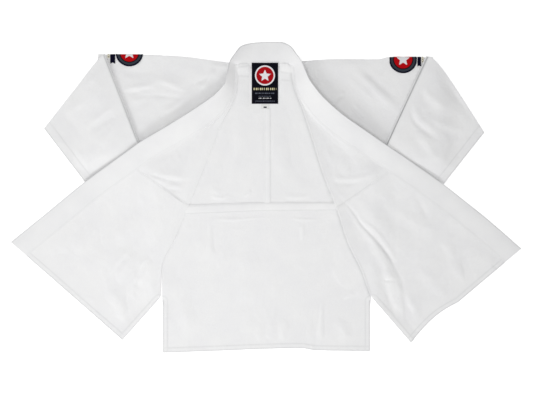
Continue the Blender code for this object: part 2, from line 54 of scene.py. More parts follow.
# How the two rolls lie: the left one is a broad soft turn, the right one is firm at its
# edge and falls away from it.
ROLL_WIDE = {"left": 17.0, "right": 0.0}
ROLL_RADIUS = {"left": 0.9, "right": 1.9}
ROLL_FALL = {"left": 0.0, "right": 1.9}
ROLL_FALL_RUN = 26.0
NECK_RUN = 60.0
SIDE_RUN = 25.0
FADE_RUN = 40.0
ORIGIN = (1.5, -1.0)
CENTRE_X = 5.5
WAIST_Y = -30.0
VENT_Y = -305.0
VENT_RUN = 30.0
SIDE_X = {"left": -284.6, "right": 290.0}
ARMPIT_Y = {"left": 121.0, "right": 115.0}
SIDES = ("left", "right")

SHOULDER_COLUMNS = ("x", "y")
SHOULDER = (
    (-456.0, 391.0),
    (-340.0, 390.5),
    (-249.0, 387.0),
    (-100.0, 370.0),
    (-68.0, 366.0),
    (0.0, 369.0),
    (66.0, 366.0),
    (98.0, 373.0),
    (198.0, 379.0),
    (307.0, 378.0),
    (342.0, 384.0),
    (456.0, 383.5),
)
HEM_COLUMNS = ("x", "y")
HEM = (
    (-282.0, -428.0),
    (-139.0, -423.0),
    (-1.0, -417.5),
    (95.0, -415.5),
    (140.0, -421.5),
    (287.0, -423.5),
)
# Sections of each turned-back front, from the neck to the hem: "out" is the collar band's
# free edge, "in" its seam, "roll" the visible fold, "side" the side seam of the layer
# below, low_z that layer's height and turn the radius of the fold.
FRONT_COLUMNS = (
    "out_x", "out_y", "out_z", "in_x", "in_y", "in_z",
    "roll_x", "roll_y", "side_x", "side_y", "low_z", "turn",
)
FRONT = {
    "left": (
        (-97.6, 370.0, 30.0, -80.0, 364.0, 10.0, -74.0, 362.0, -284.6, 388.8, 2.55, 1.2),
        (-111.0, 311.0, 31.0, -85.0, 299.0, 12.0, -77.5, 297.0, -284.6, 340.0, 3.20, 1.6),
        (-139.0, 280.0, 29.0, -108.0, 243.0, 14.0, -98.5, 239.5, -284.6, 295.0, 3.75, 2.2),
        (-187.0, 246.0, 27.0, -155.0, 198.0, 15.0, -119.0, 205.0, -284.6, 245.0, 3.75, 2.2),
        (-262.0, 199.0, 24.0, -232.0, 149.0, 15.5, -141.0, 148.0, -284.6, 180.0, 3.75, 2.2),
        (-345.0, 150.0, 20.0, -314.0, 101.0, 15.0, -172.0, 70.0, -284.6, 85.0, 3.75, 2.2),
        (-384.0, 122.0, 17.5, -350.0, 75.0, 13.5, -209.0, -22.0, -284.6, -30.0, 3.75, 2.2),
        (-494.0, 43.0, 7.5, -459.0, -3.0, 8.5, -246.0, -110.0, -284.6, -115.0, 3.75, 2.2),
        (-555.0, -6.0, 4.5, -519.0, -51.5, 6.2, -284.0, -195.0, -297.0, -192.0, 3.00, 1.8),
        (-600.0, -43.0, 3.0, -563.5, -88.0, 5.2, -288.0, -275.0, -299.0, -268.0, 2.55, 1.2),
        (-700.0, -124.0, 2.7, -656.0, -162.6, 4.5, -393.0, -393.0, -402.0, -385.0, 0.75, 1.2),
    ),
    "right": (
        (97.6, 372.6, 26.0, 72.0, 360.0, 10.0, 66.0, 358.0, 290.0, 377.2, 2.55, 1.2),
        (120.0, 322.0, 29.0, 84.0, 300.0, 12.0, 79.0, 300.0, 290.0, 335.0, 3.20, 1.6),
        (157.0, 274.0, 29.0, 118.0, 237.0, 14.0, 102.0, 240.0, 290.0, 285.0, 3.75, 2.2),
        (212.0, 225.0, 27.0, 176.0, 179.0, 15.0, 118.0, 190.0, 290.0, 235.0, 3.75, 2.2),
        (275.0, 181.0, 24.0, 242.0, 133.0, 15.5, 134.0, 140.0, 290.0, 170.0, 3.75, 2.2),
        (335.0, 140.0, 20.0, 302.6, 92.0, 15.0, 155.0, 72.0, 290.0, 80.0, 3.75, 2.2),
        (370.0, 117.0, 17.5, 337.0, 69.0, 13.5, 194.0, -29.0, 290.0, -30.0, 3.75, 2.2),
        (487.0, 36.0, 7.5, 452.5, -10.6, 8.5, 226.0, -125.0, 290.0, -122.0, 3.75, 2.2),
        (550.0, -13.0, 4.5, 514.0, -58.5, 6.2, 265.0, -205.0, 290.0, -200.0, 3.00, 1.8),
        (604.0, -56.0, 3.0, 567.0, -101.0, 5.2, 291.0, -275.0, 301.5, -268.5, 2.55, 1.2),
        (703.0, -142.0, 2.7, 658.4, -179.9, 4.5, 399.0, -400.0, 408.5, -392.0, 0.75, 1.2),
    ),
}
FLUSH = 0.7
WAIST_ROW = 6
VENT_ROW = 9
HEM_DRAWN_IN = {"left": 0.0, "right": 14.0}
NECK_COLUMNS = ("out_x", "out_y", "out_z", "in_x", "in_y", "in_z")
NECK = (
    (-84.0, 393.0, 22.0, -65.0, 363.0, 8.5),
    (-67.0, 414.0, 13.0, -48.0, 362.5, 6.8),
    (-37.0, 423.0, 5.0, -28.0, 362.0, 5.0),
    (5.5, 426.0, 2.7, 3.0, 361.5, 4.4),
    (40.0, 426.0, 5.0, 30.0, 361.5, 5.0),
    (67.0, 415.0, 12.0, 48.0, 361.5, 6.8),
    (84.0, 393.0, 20.0, 61.0, 361.0, 8.5),
)
SLEEVE = {
    "left": {
        "under_top": (-456.0, 391.0), "under_low": (-473.0, 121.0),
        "over_top": (-444.0, 390.5), "over_low": (-346.0, 140.0),
        "cuff_top": (-608.0, 188.0), "cuff_low": (-496.0, 41.0), "bulge": 3.0,
    },
    "right": {
        "under_top": (456.0, 383.5), "under_low": (471.6, 110.0),
        "over_top": (444.0, 384.0), "over_low": (331.0, 140.0),
        "cuff_top": (601.0, 177.0), "cuff_low": (490.0, 36.0), "bulge": 13.0,
    },
}
LAYER_HALF = 1.2
SLEEVE_MID = LAYER_HALF + CLOTH / 2
FOLD_RADIUS = 2.4
DRAPE_RUN = 60.0

LABEL_BOX = (-39.0, 36.0, 255.0, 370.0)
LABEL_RISES = (338.0, 357.0)
LABEL_ON_BAND = 3.3
LABEL_SIDES_RISE = 1.3
SIZE_TAB_BOX = (-12.0, 10.0, 242.0, 254.6)
CENTRE_TAPE_HALF = 8.0
CENTRE_TAPE_TOP = 241.6
WAIST_TAPE_COLUMNS = ("x", "top", "bottom")
WAIST_TAPE = (
    (-255.0, -24.0, -49.0),
    (-120.0, -19.0, -44.0),
    (0.0, -16.0, -39.0),
    (258.0, -15.0, -37.0),
)
ROUND_PATCH = {
    "left": {"middle": -374.0, "radius": 38.0, "down": -3.0},
    "right": {"middle": 378.0, "radius": 38.0, "down": 9.0},
}
STRIPES = {
    "left": {
        "wide": {"from_x": -426.5, "to_x": -413.0, "down": 28.0},
        "narrow": {"from_x": -434.0, "to_x": -428.0, "down": 12.0},
    },
    "right": {
        "wide": {"from_x": 417.5, "to_x": 427.0, "down": 28.0},
        "narrow": {"from_x": 429.0, "to_x": 434.0, "down": 17.0},
    },
}

# The creases that a hand would lay: the points that each follows, how far it lifts the
# cloth (less than 0 is a trough) and its half width.
CREASES = {
    "front_left": (
        (((-305, 55), (-262, 53), (-215, 50)), 3.0, 15),
        (((-365, -140), (-392, -185), (-420, -235)), 4.0, 22),
        (((-318, -165), (-338, -205), (-357, -245)), 4.0, 19),
        (((-318, 62), (-280, 50), (-236, 40), (-205, 44)), -2.4, 5),
        (((-270, 30), (-240, 26), (-214, 22)), 2.0, 5),
        (((-367, -151), (-397, -178), (-414, -206), (-422, -246)), -2.4, 8),
        (((-318, -165), (-336, -196), (-353, -234), (-356, -262)), -2.6, 7),
        (((-225, -60), (-262, -130), (-300, -186), (-318, -232)), 2.4, 14),
        (((-246, -86), (-286, -150), (-322, -214)), -1.4, 9),
        (((-330, -30), (-372, -84), (-420, -130)), 1.8, 26),
        (((-430, -250), (-402, -300), (-384, -352)), 2.2, 16),
        (((-384, -262), (-372, -310), (-378, -352)), -1.6, 11),
        (((-160, 190), (-172, 140), (-190, 96), (-196, 58)), 2.0, 16),
        (((-180, 205), (-200, 160), (-215, 112)), -1.4, 12),
        (((-470, -60), (-506, -108), (-520, -160)), 1.5, 22),
        (((-560, -160), (-598, -196)), -1.3, 13),
        (((-250, 118), (-300, 92), (-330, 70)), 1.6, 18),
    ),
    "front_right": (
        (((165, 52), (205, 50), (258, 52), (300, 70)), 2.6, 8),
        (((255, -20), (318, -82), (375, -150)), 2.4, 22),
        (((330, -185), (352, -250), (370, -330)), 3.0, 21),
        (((172, 38), (212, 36), (254, 38)), -2.2, 4),
        (((176, 24), (206, 6), (214, -8)), 1.4, 6),
        (((180, 60), (222, 52), (262, 60), (300, 74)), -1.6, 7),
        (((220, -20), (238, -36), (266, -80), (293, -106), (342, -165), (368, -215)), -2.2, 5),
        (((364, -206), (376, -246), (388, -300), (392, -350)), -2.2, 9),
        (((252, -58), (300, -90), (338, -140), (362, -178)), 1.2, 6),
        (((323, -228), (338, -231), (353, -228)), -1.5, 4),
        (((240, -40), (300, -128), (340, -205), (352, -290)), 2.2, 13),
        (((411, 19), (428, -20), (444, -63)), -1.6, 10),
        (((300, 30), (352, -30), (420, -76), (470, -120)), 1.7, 18),
        (((360, -228), (392, -282), (425, -338)), 2.4, 14),
        (((330, -252), (344, -300), (352, -338)), -1.6, 8),
        (((545, -170), (552, -214), (572, -236)), -1.8, 9),
        (((500, -120), (512, -176), (540, -226)), 1.6, 15),
        (((420, -196), (470, -246), (500, -282)), 1.7, 16),
        (((140, 178), (158, 130), (190, 92)), 1.8, 14),
        (((205, 140), (232, 100), (246, 62)), -1.4, 14),
        (((610, -120), (628, -156), (618, -196)), 1.4, 14),
    ),
    "back_skirt": (
        (((-153, -72), (-153, -120), (-155, -165)), 1.1, 8),
        (((-140, -76), (-138, -130), (-142, -158)), -1.1, 7),
        (((100, -76), (101, -118)), 1.2, 6),
        (((157, -286), (152, -340), (150, -402)), 1.2, 8),
        (((168, -290), (166, -350), (163, -404)), -1.2, 8),
        (((140, -300), (138, -360), (134, -404)), -1.2, 9),
        (((52, -336), (44, -400)), 1.4, 10),
        (((18, -340), (8, -398)), 1.2, 11),
        (((-15, -345), (-18, -398)), 1.0, 10),
        (((88, -352), (92, -400)), -1.0, 10),
        (((190, -330), (214, -364), (218, -398)), 1.2, 12),
        (((-133, -58), (-96, -66), (-54, -60), (-8, -55), (30, -62)), 1.4, 6),
        (((-126, -70), (-80, -77), (-36, -72)), -1.3, 7),
        (((70, -58), (110, -64), (158, -60)), 1.2, 6),
        (((-230, -300), (-214, -348), (-216, -398)), 1.4, 15),
        (((-60, -150), (-52, -230), (-70, -300)), 1.3, 24),
        (((60, -120), (52, -210), (70, -280)), -1.2, 26),
        (((-210, -190), (-182, -260), (-176, -330)), -1.2, 20),
        (((214, -120), (200, -200), (222, -262)), 1.3, 20),
        (((240, -258), (214, -282)), 1.6, 7),
    ),
    "back": (
        (((-152, 5), (-130, -4), (-112, -2)), 1.9, 6),
        (((-168, 30), (-140, 14), (-116, 12)), 1.4, 8),
        (((-60, -2), (-46, 8), (-38, 20)), 1.6, 6),
        (((-34, 6), (-10, -2)), -1.1, 6),
        (((56, 2), (90, -2), (122, 3)), 1.3, 7),
        (((-70, 200), (-78, 120), (-96, 50)), 1.3, 15),
        (((64, 214), (72, 150), (94, 70)), -1.2, 15),
        (((-30, 180), (-36, 90)), -0.9, 18),
        (((40, 170), (46, 60)), 0.9, 18),
    ),
    "sleeve_left": (
        (((-486, 196), (-452, 222), (-414, 250)), 1.9, 9),
        (((-476, 180), (-440, 206), (-404, 226)), -1.3, 8),
        (((-546, 232), (-520, 246), (-492, 262)), 1.2, 13),
        (((-556, 232), (-520, 190), (-500, 150)), -1.2, 15),
        (((-498, 300), (-476, 318), (-458, 342)), 1.1, 9),
        (((-384, 272), (-301, 280), (-224, 269)), -1.3, 7),
        (((-382, 296), (-342, 301), (-305, 310)), 2.6, 8),
        (((-384, 283), (-344, 288)), -1.4, 8),
        (((-302, 322), (-262, 312), (-232, 296)), 2.0, 9),
        (((-440, 330), (-460, 286), (-452, 240)), 0.9, 12),
        (((-405, 210), (-430, 172), (-452, 132)), 2.0, 11),
        (((-400, 342), (-352, 338), (-300, 346)), -1.2, 11),
        (((-365, 236), (-330, 262), (-300, 270)), -1.5, 10),
        (((-516, 130), (-492, 96), (-486, 72)), 1.6, 11),
        (((-142, 357), (-158, 324), (-180, 291)), 3.4, 8),
        (((-213, 280), (-241, 253), (-279, 231)), 3.0, 10),
        (((-150, 330), (-184, 318), (-214, 300)), -1.6, 8),
    ),
    "sleeve_right": (
        (((402, 262), (415, 216), (478, 172)), 2.4, 11),
        (((392, 258), (402, 206), (462, 160)), -1.6, 7),
        (((430, 300), (462, 262), (506, 238)), 2.4, 14),
        (((450, 214), (504, 190), (546, 180)), 2.0, 12),
        (((400, 330), (424, 300), (436, 262)), -1.6, 12),
        (((246, 350), (300, 296), (356, 240)), 2.8, 13),
        (((262, 356), (316, 304), (366, 262)), -1.7, 10),
        (((226, 330), (262, 300), (300, 262)), 1.8, 12),
        (((420, 170), (452, 130), (470, 92)), 2.2, 12),
        (((520, 160), (502, 116), (496, 84)), -1.6, 12),
        (((480, 320), (520, 276), (560, 240)), -1.4, 15),
        (((131, 355), (142, 327), (155, 305)), 4.2, 7),
        (((147, 311), (166, 313), (183, 300)), -3.2, 7),
        (((188, 256), (199, 275), (221, 286)), 4.2, 8),
        (((238, 256), (254, 234), (282, 212)), 3.6, 9),
    ),
}
SEED = 17
WRINKLE_SIZES = (190.0, 95.0, 46.0, 21.0)
WRINKLE_LIFTS = (0.6, 0.35, 0.19, 0.08)
HEM_FOLD = 14.0
HEM_RAISE = 0.42
PUCKER_RUN = 12.0
PUCKER = 0.28
LOFT = 3.0


def table(columns, rows):
    values = np.array(rows, float)
    return {name: values[:, i] for i, name in enumerate(columns)}


def smooth(x):
    """0 to 1 with level ends."""
    x = np.clip(x, 0.0, 1.0)
    return x * x * (3.0 - 2.0 * x)


def slopes(knots, values):
    """Slopes of a curve that never swings past its rows."""
    steps = np.diff(knots)
    rises = np.diff(values) / steps
    found = np.zeros(len(values))
    found[0] = rises[0]
    found[-1] = rises[-1]
    for i in range(1, len(values) - 1):
        if rises[i - 1] * rises[i] > 0.0:
            wide = 2.0 * steps[i] + steps[i - 1]
            near = steps[i] + 2.0 * steps[i - 1]
            found[i] = (wide + near) / (wide / rises[i - 1] + near / rises[i])
    return found


def through(knots, values, at):
    """The smooth curve through a column of rows, at an array of places."""
    at = np.clip(at, knots[0], knots[-1])
    i = np.minimum(np.searchsorted(knots, at, side="right") - 1, len(knots) - 2)
    step = knots[i + 1] - knots[i]
    f = (at - knots[i]) / step
    slope = slopes(knots, values)
    return (
        values[i] * (1 + 2 * f) * (1 - f) ** 2
        + slope[i] * step * f * (1 - f) ** 2
        + values[i + 1] * f * f * (3 - 2 * f)
        + slope[i + 1] * step * f * f * (f - 1)
    )


def lengths(x, y):
    return np.concatenate([[0.0], np.cumsum(np.hypot(np.diff(x), np.diff(y)))])


def mix(a, b, f):
    return a * (1.0 - f) + b * f


def spaced(first, last, step):
    """Evenly spaced places from first to last, about one step apart."""
    return np.linspace(first, last, max(2, int(round(abs(last - first) / step)) + 1))


SHOULDER_TABLE = table(SHOULDER_COLUMNS, SHOULDER)
HEM_TABLE = table(HEM_COLUMNS, HEM)
TAPE_TABLE = table(WAIST_TAPE_COLUMNS, WAIST_TAPE)
FRONT_TABLE = {side: table(FRONT_COLUMNS, rows) for side, rows in FRONT.items()}
FRONT_KNOTS = {side: lengths(t["out_x"], t["out_y"]) for side, t in FRONT_TABLE.items()}


def shoulder_y(x):
    return through(SHOULDER_TABLE["x"], SHOULDER_TABLE["y"], x)


def eased(path):
    """A path with its corners cut twice, so that a crease bends softly."""
    points = np.array(path, float)
    for _ in range(2):
        near = points[:-1] * 0.75 + points[1:] * 0.25
        far = points[:-1] * 0.25 + points[1:] * 0.75
        cut = np.stack([near, far], axis=1).reshape(-1, 2)
        points = np.concatenate([points[:1], cut, points[-1:]])
    return points


def distance_to(path, x, y):
    """How far each place is from a path, where along it the nearest point is, its length
    and the side that the place is on."""
    near = np.full(x.shape, 1e9)
    along = np.zeros(x.shape)
    hand = np.ones(x.shape)
    start = 0.0
    for (x0, y0), (x1, y1) in zip(path, path[1:]):
        run = math.hypot(x1 - x0, y1 - y0)
        if run < 1e-6:
            continue
        dx = (x1 - x0) / run
        dy = (y1 - y0) / run
        t = np.clip((x - x0) * dx + (y - y0) * dy, 0.0, run)
        off = np.hypot(x - x0 - t * dx, y - y0 - t * dy)
        closer = off < near
        near = np.where(closer, off, near)
        along = np.where(closer, start + t, along)
        hand = np.where(closer, np.sign(dx * (y - y0) - dy * (x - x0)), hand)
        start += run
    return near, along, start, hand


def crease(path, height, half_width, x, y):
    """One fold: a narrow crest with a softer shoulder on one side, fading at its ends."""
    off, along, long, hand = distance_to(eased(path), x, y)
    ends = smooth((along + 0.25 * half_width) / (0.3 * long)) * smooth((long - along) / (0.3 * long))
    crest = np.exp(-((off / half_width) ** 2))
    shoulder = 0.32 * hand * (off / half_width) * np.exp(-((off / (1.6 * half_width)) ** 2))
    return height * (0.25 + 0.75 * ends) * (crest + shoulder) * smooth(1.6 - off / (4 * half_width))


def wrinkles(seed, x, y):
    """Soft unevenness that cloth keeps when it is laid by hand."""
    dice = np.random.default_rng(SEED + seed)
    found = np.zeros(x.shape)
    for size, lift in zip(WRINKLE_SIZES, WRINKLE_LIFTS):
        for _ in range(5):
            turn = dice.uniform(0.0, math.tau)
            pitch = size * dice.uniform(0.7, 1.4)
            shift = dice.uniform(0.0, math.tau)
            bend = dice.uniform(0.4, 1.1)
            across = x * math.cos(turn) + y * math.sin(turn)
            along = y * math.cos(turn) - x * math.sin(turn)
            warp = bend * np.sin(along * math.tau / (2.3 * pitch) + shift)
            found += lift * 0.45 * np.sin(across * math.tau / pitch + shift + warp)
    return found


def relief(group, seed, x, y):
    """The creases of one panel and its soft unevenness."""
    found = wrinkles(seed, x, y)
    for path, height, half_width in CREASES[group]:
        found = found + crease(path, height, half_width, x, y)
    return found


def hemmed(edge, x, y, seed):
    """A turned and stitched edge: doubled cloth as far as its stitch line, a dip at the
    stitches and small puckers beside them."""
    off, along, _, _ = distance_to(edge, x, y)
    doubled = HEM_RAISE * (1.0 - smooth((off - HEM_FOLD) / 1.6))
    dip = -0.4 * np.exp(-(((off - HEM_FOLD + 1.6) / 1.5) ** 2))
    wave = np.sin(along * math.tau / 17.0 + 2.0 * np.sin(along / 41.0 + seed))
    wave = wave * np.sin(along * math.tau / 61.0 + seed)
    return doubled + dip + PUCKER * wave * np.exp(-(((off - HEM_FOLD) / PUCKER_RUN) ** 2))


def seam_dip(path, x, y, depth=0.6, half_width=1.8):
    off = distance_to(path, x, y)[0]
    return -depth * np.exp(-((off / half_width) ** 2))


# ---- surfaces: arrays of points in millimetres, rows by columns by three


def front_sections(side, s):
    """Sections of a front, s millimetres down its lapel from the neck."""
    knots = FRONT_KNOTS[side]
    found = {name: through(knots, column, s) for name, column in FRONT_TABLE[side].items()}
    f = (s - knots[VENT_ROW]) / (knots[-1] - knots[VENT_ROW])
    for name in ("roll_x", "roll_y", "side_x", "side_y"):
        rows = FRONT_TABLE[side][name]
        straight = mix(rows[VENT_ROW], rows[-1], f)
        found[name] = np.where(f > 0.0, straight, found[name])
    return found


def roll_normals(side, s):
    """Unit directions square to the roll line, towards the middle of the jacket."""
    a = front_sections(side, s - 4.0)
    b = front_sections(side, s + 4.0)
    dx = b["roll_x"] - a["roll_x"]
    dy = b["roll_y"] - a["roll_y"]
    long = np.hypot(dx, dy)
    hand = 1.0 if side == "left" else -1.0
    return np.stack([-dy / long * hand, dx / long * hand], axis=1)


def cover_heights(side, x, y):
    """Middle height of a turned-back front over the body and sleeve, and off them."""
    past_side = smooth((np.abs(x) - abs(SIDE_X[side])) / COVER_RUN)
    past_sleeve = smooth((ARMPIT_Y[side] - y) / COVER_RUN)
    return COVER_MID + (FLOOR_MID - COVER_MID) * past_side * past_sleeve


def front_surface(side, s, leg, turn, cover):
    """A front's cloth: the layer below, the roll, the layer on top and the edge tucked
    under the collar band. leg, turn and cover are the places along each stretch."""
    row = {name: values[:, None] for name, values in front_sections(side, s).items()}
    inward = roll_normals(side, s)[:, None, :]
    seam = np.stack([row["in_x"], row["in_y"]], axis=2)
    edge = np.stack([row["roll_x"], row["roll_y"]], axis=2)
    room = smooth((np.linalg.norm(seam - edge, axis=2) - 8.0) / 50.0)
    side_edge = np.stack([row["side_x"], row["side_y"]], axis=2)
    room = room * smooth((np.linalg.norm(side_edge - edge, axis=2) - 14.0) / 40.0)
    wide = row["turn"] + 0.4 + ROLL_WIDE[side] * room
    half = row["turn"]
    roll = edge - inward * (wide + CLOTH / 2)[:, :, None]
    hand = -1.0 if side == "left" else 1.0
    beside_arm = row["side_y"] > ARMPIT_Y[side]
    below = np.stack([row["side_x"] + hand * GAP * beside_arm, row["side_y"]], axis=2)
    out = np.stack([row["out_x"], row["out_y"]], axis=2)
    down = s[:, None]

    f = leg[None, :]
    place = below * (1 - f[:, :, None]) + roll * f[:, :, None]
    near_neck = 1.0 - smooth(down / NECK_RUN)
    place[:, :, 1] += (shoulder_y(place[:, :, 0]) - place[:, :, 1]) * near_neck * (1.0 - f**6)
    side_z = np.where(beside_arm, SLEEVE_MID + LAYER_HALF, np.minimum(row["low_z"], ON_BACK + CLOTH / 2))
    from_side = np.linalg.norm(place - below, axis=2)
    z = side_z + (row["low_z"] - side_z) * smooth(from_side / SIDE_RUN)
    z = z + arm_relief(side, place[:, :, 0], place[:, :, 1])
    layer = np.concatenate([place, z[:, :, None]], axis=2)

    radius = mix(half, np.minimum(half, ROLL_RADIUS[side]), room)
    part = 3.0 * turn[None, :]
    angle = math.pi * np.clip(part - 1.0, 0.0, 1.0)
    ahead = (wide - radius) * np.where(part < 1.5, np.minimum(part, 1.0), np.minimum(3.0 - part, 1.0))
    place = roll + inward * (ahead + radius * np.sin(angle))[:, :, None]
    z = row["low_z"] + radius * (1.0 - np.cos(angle))
    z = z + 2 * (half - radius) * smooth(np.maximum(part - 2.0, 0.0))
    bend = np.concatenate([place, z[:, :, None]], axis=2)

    f = cover[None, :]
    place = roll * (1 - f[:, :, None]) + seam * f[:, :, None]
    share = (down - FRONT_KNOTS[side][VENT_ROW]) / (
        FRONT_KNOTS[side][-1] - FRONT_KNOTS[side][VENT_ROW]
    )
    drawn = HEM_DRAWN_IN[side] * smooth(share) * np.sin(math.pi * np.minimum(2 * f, 1.0))
    place[:, :, 1] += drawn
    run = np.linalg.norm(place - roll, axis=2)
    x = place[:, :, 0]
    y = place[:, :, 1]
    top_z = row["low_z"] + 2 * half
    at_roll = cover_heights(side, roll[:, :, 0], roll[:, :, 1])
    at_seam = cover_heights(side, seam[:, :, 0], seam[:, :, 1])
    turned = (top_z - at_roll) * (1.0 - smooth(run / TURN_RUN)) * (1.0 - f)
    raised = (row["in_z"] - UNDER_BAND + FLUSH * smooth((f - 0.8) * 5.0) - at_seam) * smooth(f) * f
    to_seam = np.linalg.norm(seam - place, axis=2)
    fades = smooth(run / FADE_RUN) * smooth(to_seam / FADE_RUN)
    lift = relief("front_" + side, 3 if side == "left" else 7, x, y)
    fall = ROLL_FALL[side] * room * smooth(run / ROLL_FALL_RUN) * (1.0 - smooth((run - 34.0) / 60.0))
    z = cover_heights(side, x, y) + turned + raised + lift * fades - fall
    z = np.maximum(z + front_edges(side, x, y, f), FLOOR_MID)
    sheet = np.concatenate([place, z[:, :, None]], axis=2)

    f = np.array([0.5, 1.0])[None, :]
    way = (out - seam) / np.linalg.norm(out - seam, axis=2)[:, :, None]
    place = seam + way * (TUCK * f)[:, :, None]
    fall = np.minimum(row["out_z"] - row["in_z"], 0.0) / np.linalg.norm(out - seam, axis=2)
    z = row["in_z"] - UNDER_BAND + FLUSH * (1.0 - f) + fall * TUCK * f
    tuck = np.concatenate([place, z[:, :, None]], axis=2)
    return np.concatenate([layer, bend[:, 1:], sheet[:, 1:], tuck], axis=1)


def roll_path(side, first, last):
    row = front_sections(side, spaced(first, last, 12.0))
    return np.stack([row["roll_x"], row["roll_y"]], axis=1)


def hem_path(side):
    """The front's hem from the roll to the collar band."""
    last = np.array([FRONT_KNOTS[side][-1]])
    row = front_sections(side, last)
    f = np.linspace(0.0, 1.0, 21)
    x = mix(row["roll_x"], row["in_x"], f)
    y = mix(row["roll_y"], row["in_y"], f)
    return np.stack([x, y + HEM_DRAWN_IN[side] * np.sin(math.pi * np.minimum(2 * f, 1.0))], axis=1)


def waist_seam(side):
    row = {name: t[WAIST_ROW] for name, t in FRONT_TABLE[side].items()}
    return ((row["roll_x"], row["roll_y"]), (row["in_x"], row["in_y"]))


def front_edges(side, x, y, f):
    """The hem, the vent's edge and the waist seam of a front."""
    knots = FRONT_KNOTS[side]
    hem = hemmed(hem_path(side), x, y, 1.0)
    vent = hemmed(roll_path(side, knots[VENT_ROW] + 6.0, knots[-1]), x, y, 2.0)
    waist = seam_dip(waist_seam(side), x, y, 0.3, 2.2)
    return np.maximum(hem, vent) * smooth((1 - f) * 30.0) + waist * smooth(f * 12.0)


def lapel_path(side):
    """The collar band's free edge on one side, from the neck to the hem."""
    t = FRONT_TABLE[side]
    s = spaced(0.0, FRONT_KNOTS[side][-1], 20.0)
    return np.stack([through(FRONT_KNOTS[side], t[name], s) for name in ("out_x", "out_y")], axis=1)


def arm_relief(side, x, y):
    """Creases that run over the shoulder and the upper arm, clear of the collar band and
    fading at the top fold."""
    off, along, _, hand = distance_to(lapel_path(side), x, y)
    outside = hand < 0 if side == "left" else hand > 0
    clear = np.where(outside, smooth((off + 6.0) / 26.0), 0.0)
    top = smooth((shoulder_y(x) - y) / 16.0)
    found = relief("sleeve_" + side, 19 if side == "left" else 23, x, y) * clear * top
    edge_z = np.interp(along, FRONT_KNOTS[side], FRONT_TABLE[side]["out_z"])
    near = 1.0 - smooth(off / np.where(outside, GATHER_OUT, GATHER_IN))
    uneven = 1.0 + 0.15 * np.sin(along * math.tau / 61.0 + 2.0 * np.sin(along / 47.0) + off / 19.0)
    return found + GATHER[side] * np.maximum(edge_z - 7.0, 0.0) * near * uneven * top


GATHER = {"left": 0.16, "right": 0.24}
GATHER_OUT = 70.0
GATHER_IN = 46.0


def band_rows():
    columns = {}
    neck = table(NECK_COLUMNS, NECK)
    for name in NECK_COLUMNS:
        left = FRONT_TABLE["left"][name][::-1]
        columns[name] = np.concatenate([left, neck[name], FRONT_TABLE["right"][name]])
    return columns


BAND_TABLE = band_rows()
BAND_KNOTS = lengths(BAND_TABLE["out_x"], BAND_TABLE["out_y"])
BAND_LONG = BAND_KNOTS[-1]
BAND_STITCHES = (0.08,)
BAND_RISE = 48.0
BAND_TOP = 1.5


def band_middle(s, f):
    """The middle of the band, s along its free edge and f from its seam to that edge."""
    row = {name: through(BAND_KNOTS, column, s) for name, column in BAND_TABLE.items()}
    seam = np.stack([row["in_x"], row["in_y"], row["in_z"]], axis=-1)
    out = np.stack([row["out_x"], row["out_y"], row["out_z"]], axis=-1)
    return seam * (1 - f[..., None]) + out * f[..., None]


def band_surface(s, top, under):
    """The band as a ring of points round its section: over the top from its seam to its
    free edge, round that edge and back below. It is thin at the seam and firm inside."""
    wide = np.linalg.norm(band_middle(s, np.zeros(len(s))) - band_middle(s, np.ones(len(s))), axis=1)
    rings = []
    for f, hand in [(value, 1.0) for value in top] + [(value, -1.0) for value in under]:
        at = np.full(len(s), f)
        middle = band_middle(s, at)
        ahead = band_middle(np.minimum(s + 3.0, BAND_LONG), at) - band_middle(np.maximum(s - 3.0, 0.0), at)
        across = band_middle(s, np.ones(len(s))) - band_middle(s, np.zeros(len(s)))
        normal = np.cross(across, ahead)
        normal /= np.linalg.norm(normal, axis=1)[:, None]
        normal *= np.sign(normal[:, 2:3])
        from_seam = f * wide
        from_edge = (1.0 - f) * wide
        rounded = np.sqrt(np.clip(1.0 - (1.0 - np.minimum(from_edge / (BAND / 2), 1.0)) ** 2, 0.0, 1.0))
        half = BAND / 2 * rounded
        if hand > 0:
            thin = 0.3 - BAND / 2
            half = mix(thin, BAND_TOP, smooth(0.06 + 0.94 * from_seam / BAND_RISE)) * rounded
            for place in BAND_STITCHES:
                half = half - 0.1 * np.exp(-(((f - place) * wide / 1.5) ** 2))
            soft = np.sin(s * math.tau / 170.0 + 2.0 * f) + np.sin(s * math.tau / 67.0 + 1.0)
            half = half + 0.16 * soft * smooth(from_edge / 6.0) * smooth(from_seam / 12.0)
        rings.append(middle + normal * (half * hand)[:, None])
    return np.stack(rings, axis=1)


def back_surface(side, across, up):
    """An upper back half. across and up are places from the side to the centre seam and
    from the waist to the shoulder."""
    middle = CENTRE_X + (-GAP / 2 if side == "left" else GAP / 2)
    x = mix(SIDE_X[side], middle, across)[:, None]
    low = WAIST_Y + GAP / 2
    top = shoulder_y(x)
    y = low + (top - low) * up[None, :]
    x = np.broadcast_to(x, y.shape)
    shown = smooth((160.0 - np.abs(x)) / 30.0)
    lift = relief("back", 11, x, y)
    seam = 0.5 * smooth((np.abs(x - CENTRE_X) - 8.0) / 8.0)
    held = smooth((y - WAIST_Y) / 10.0) * smooth((top - y) / 20.0) * seam * 2.0
    under_label = smooth(np.maximum(np.abs(x + 1.5) - 38.0, 240.0 - y) / 12.0)
    floor = np.maximum(lift, -0.6) * shown * held * under_label
    yoke = np.zeros(x.shape)
    for line in YOKE_LINES:
        yoke = yoke + seam_dip(line, x, y, 0.45, 2.6)
    rise = rise_to_roll(x, y) * under_label + rise_to_band(x, y)
    return np.stack([x, y, BACK_MID + np.maximum(floor + rise + yoke * under_label, 0.0)], axis=2)


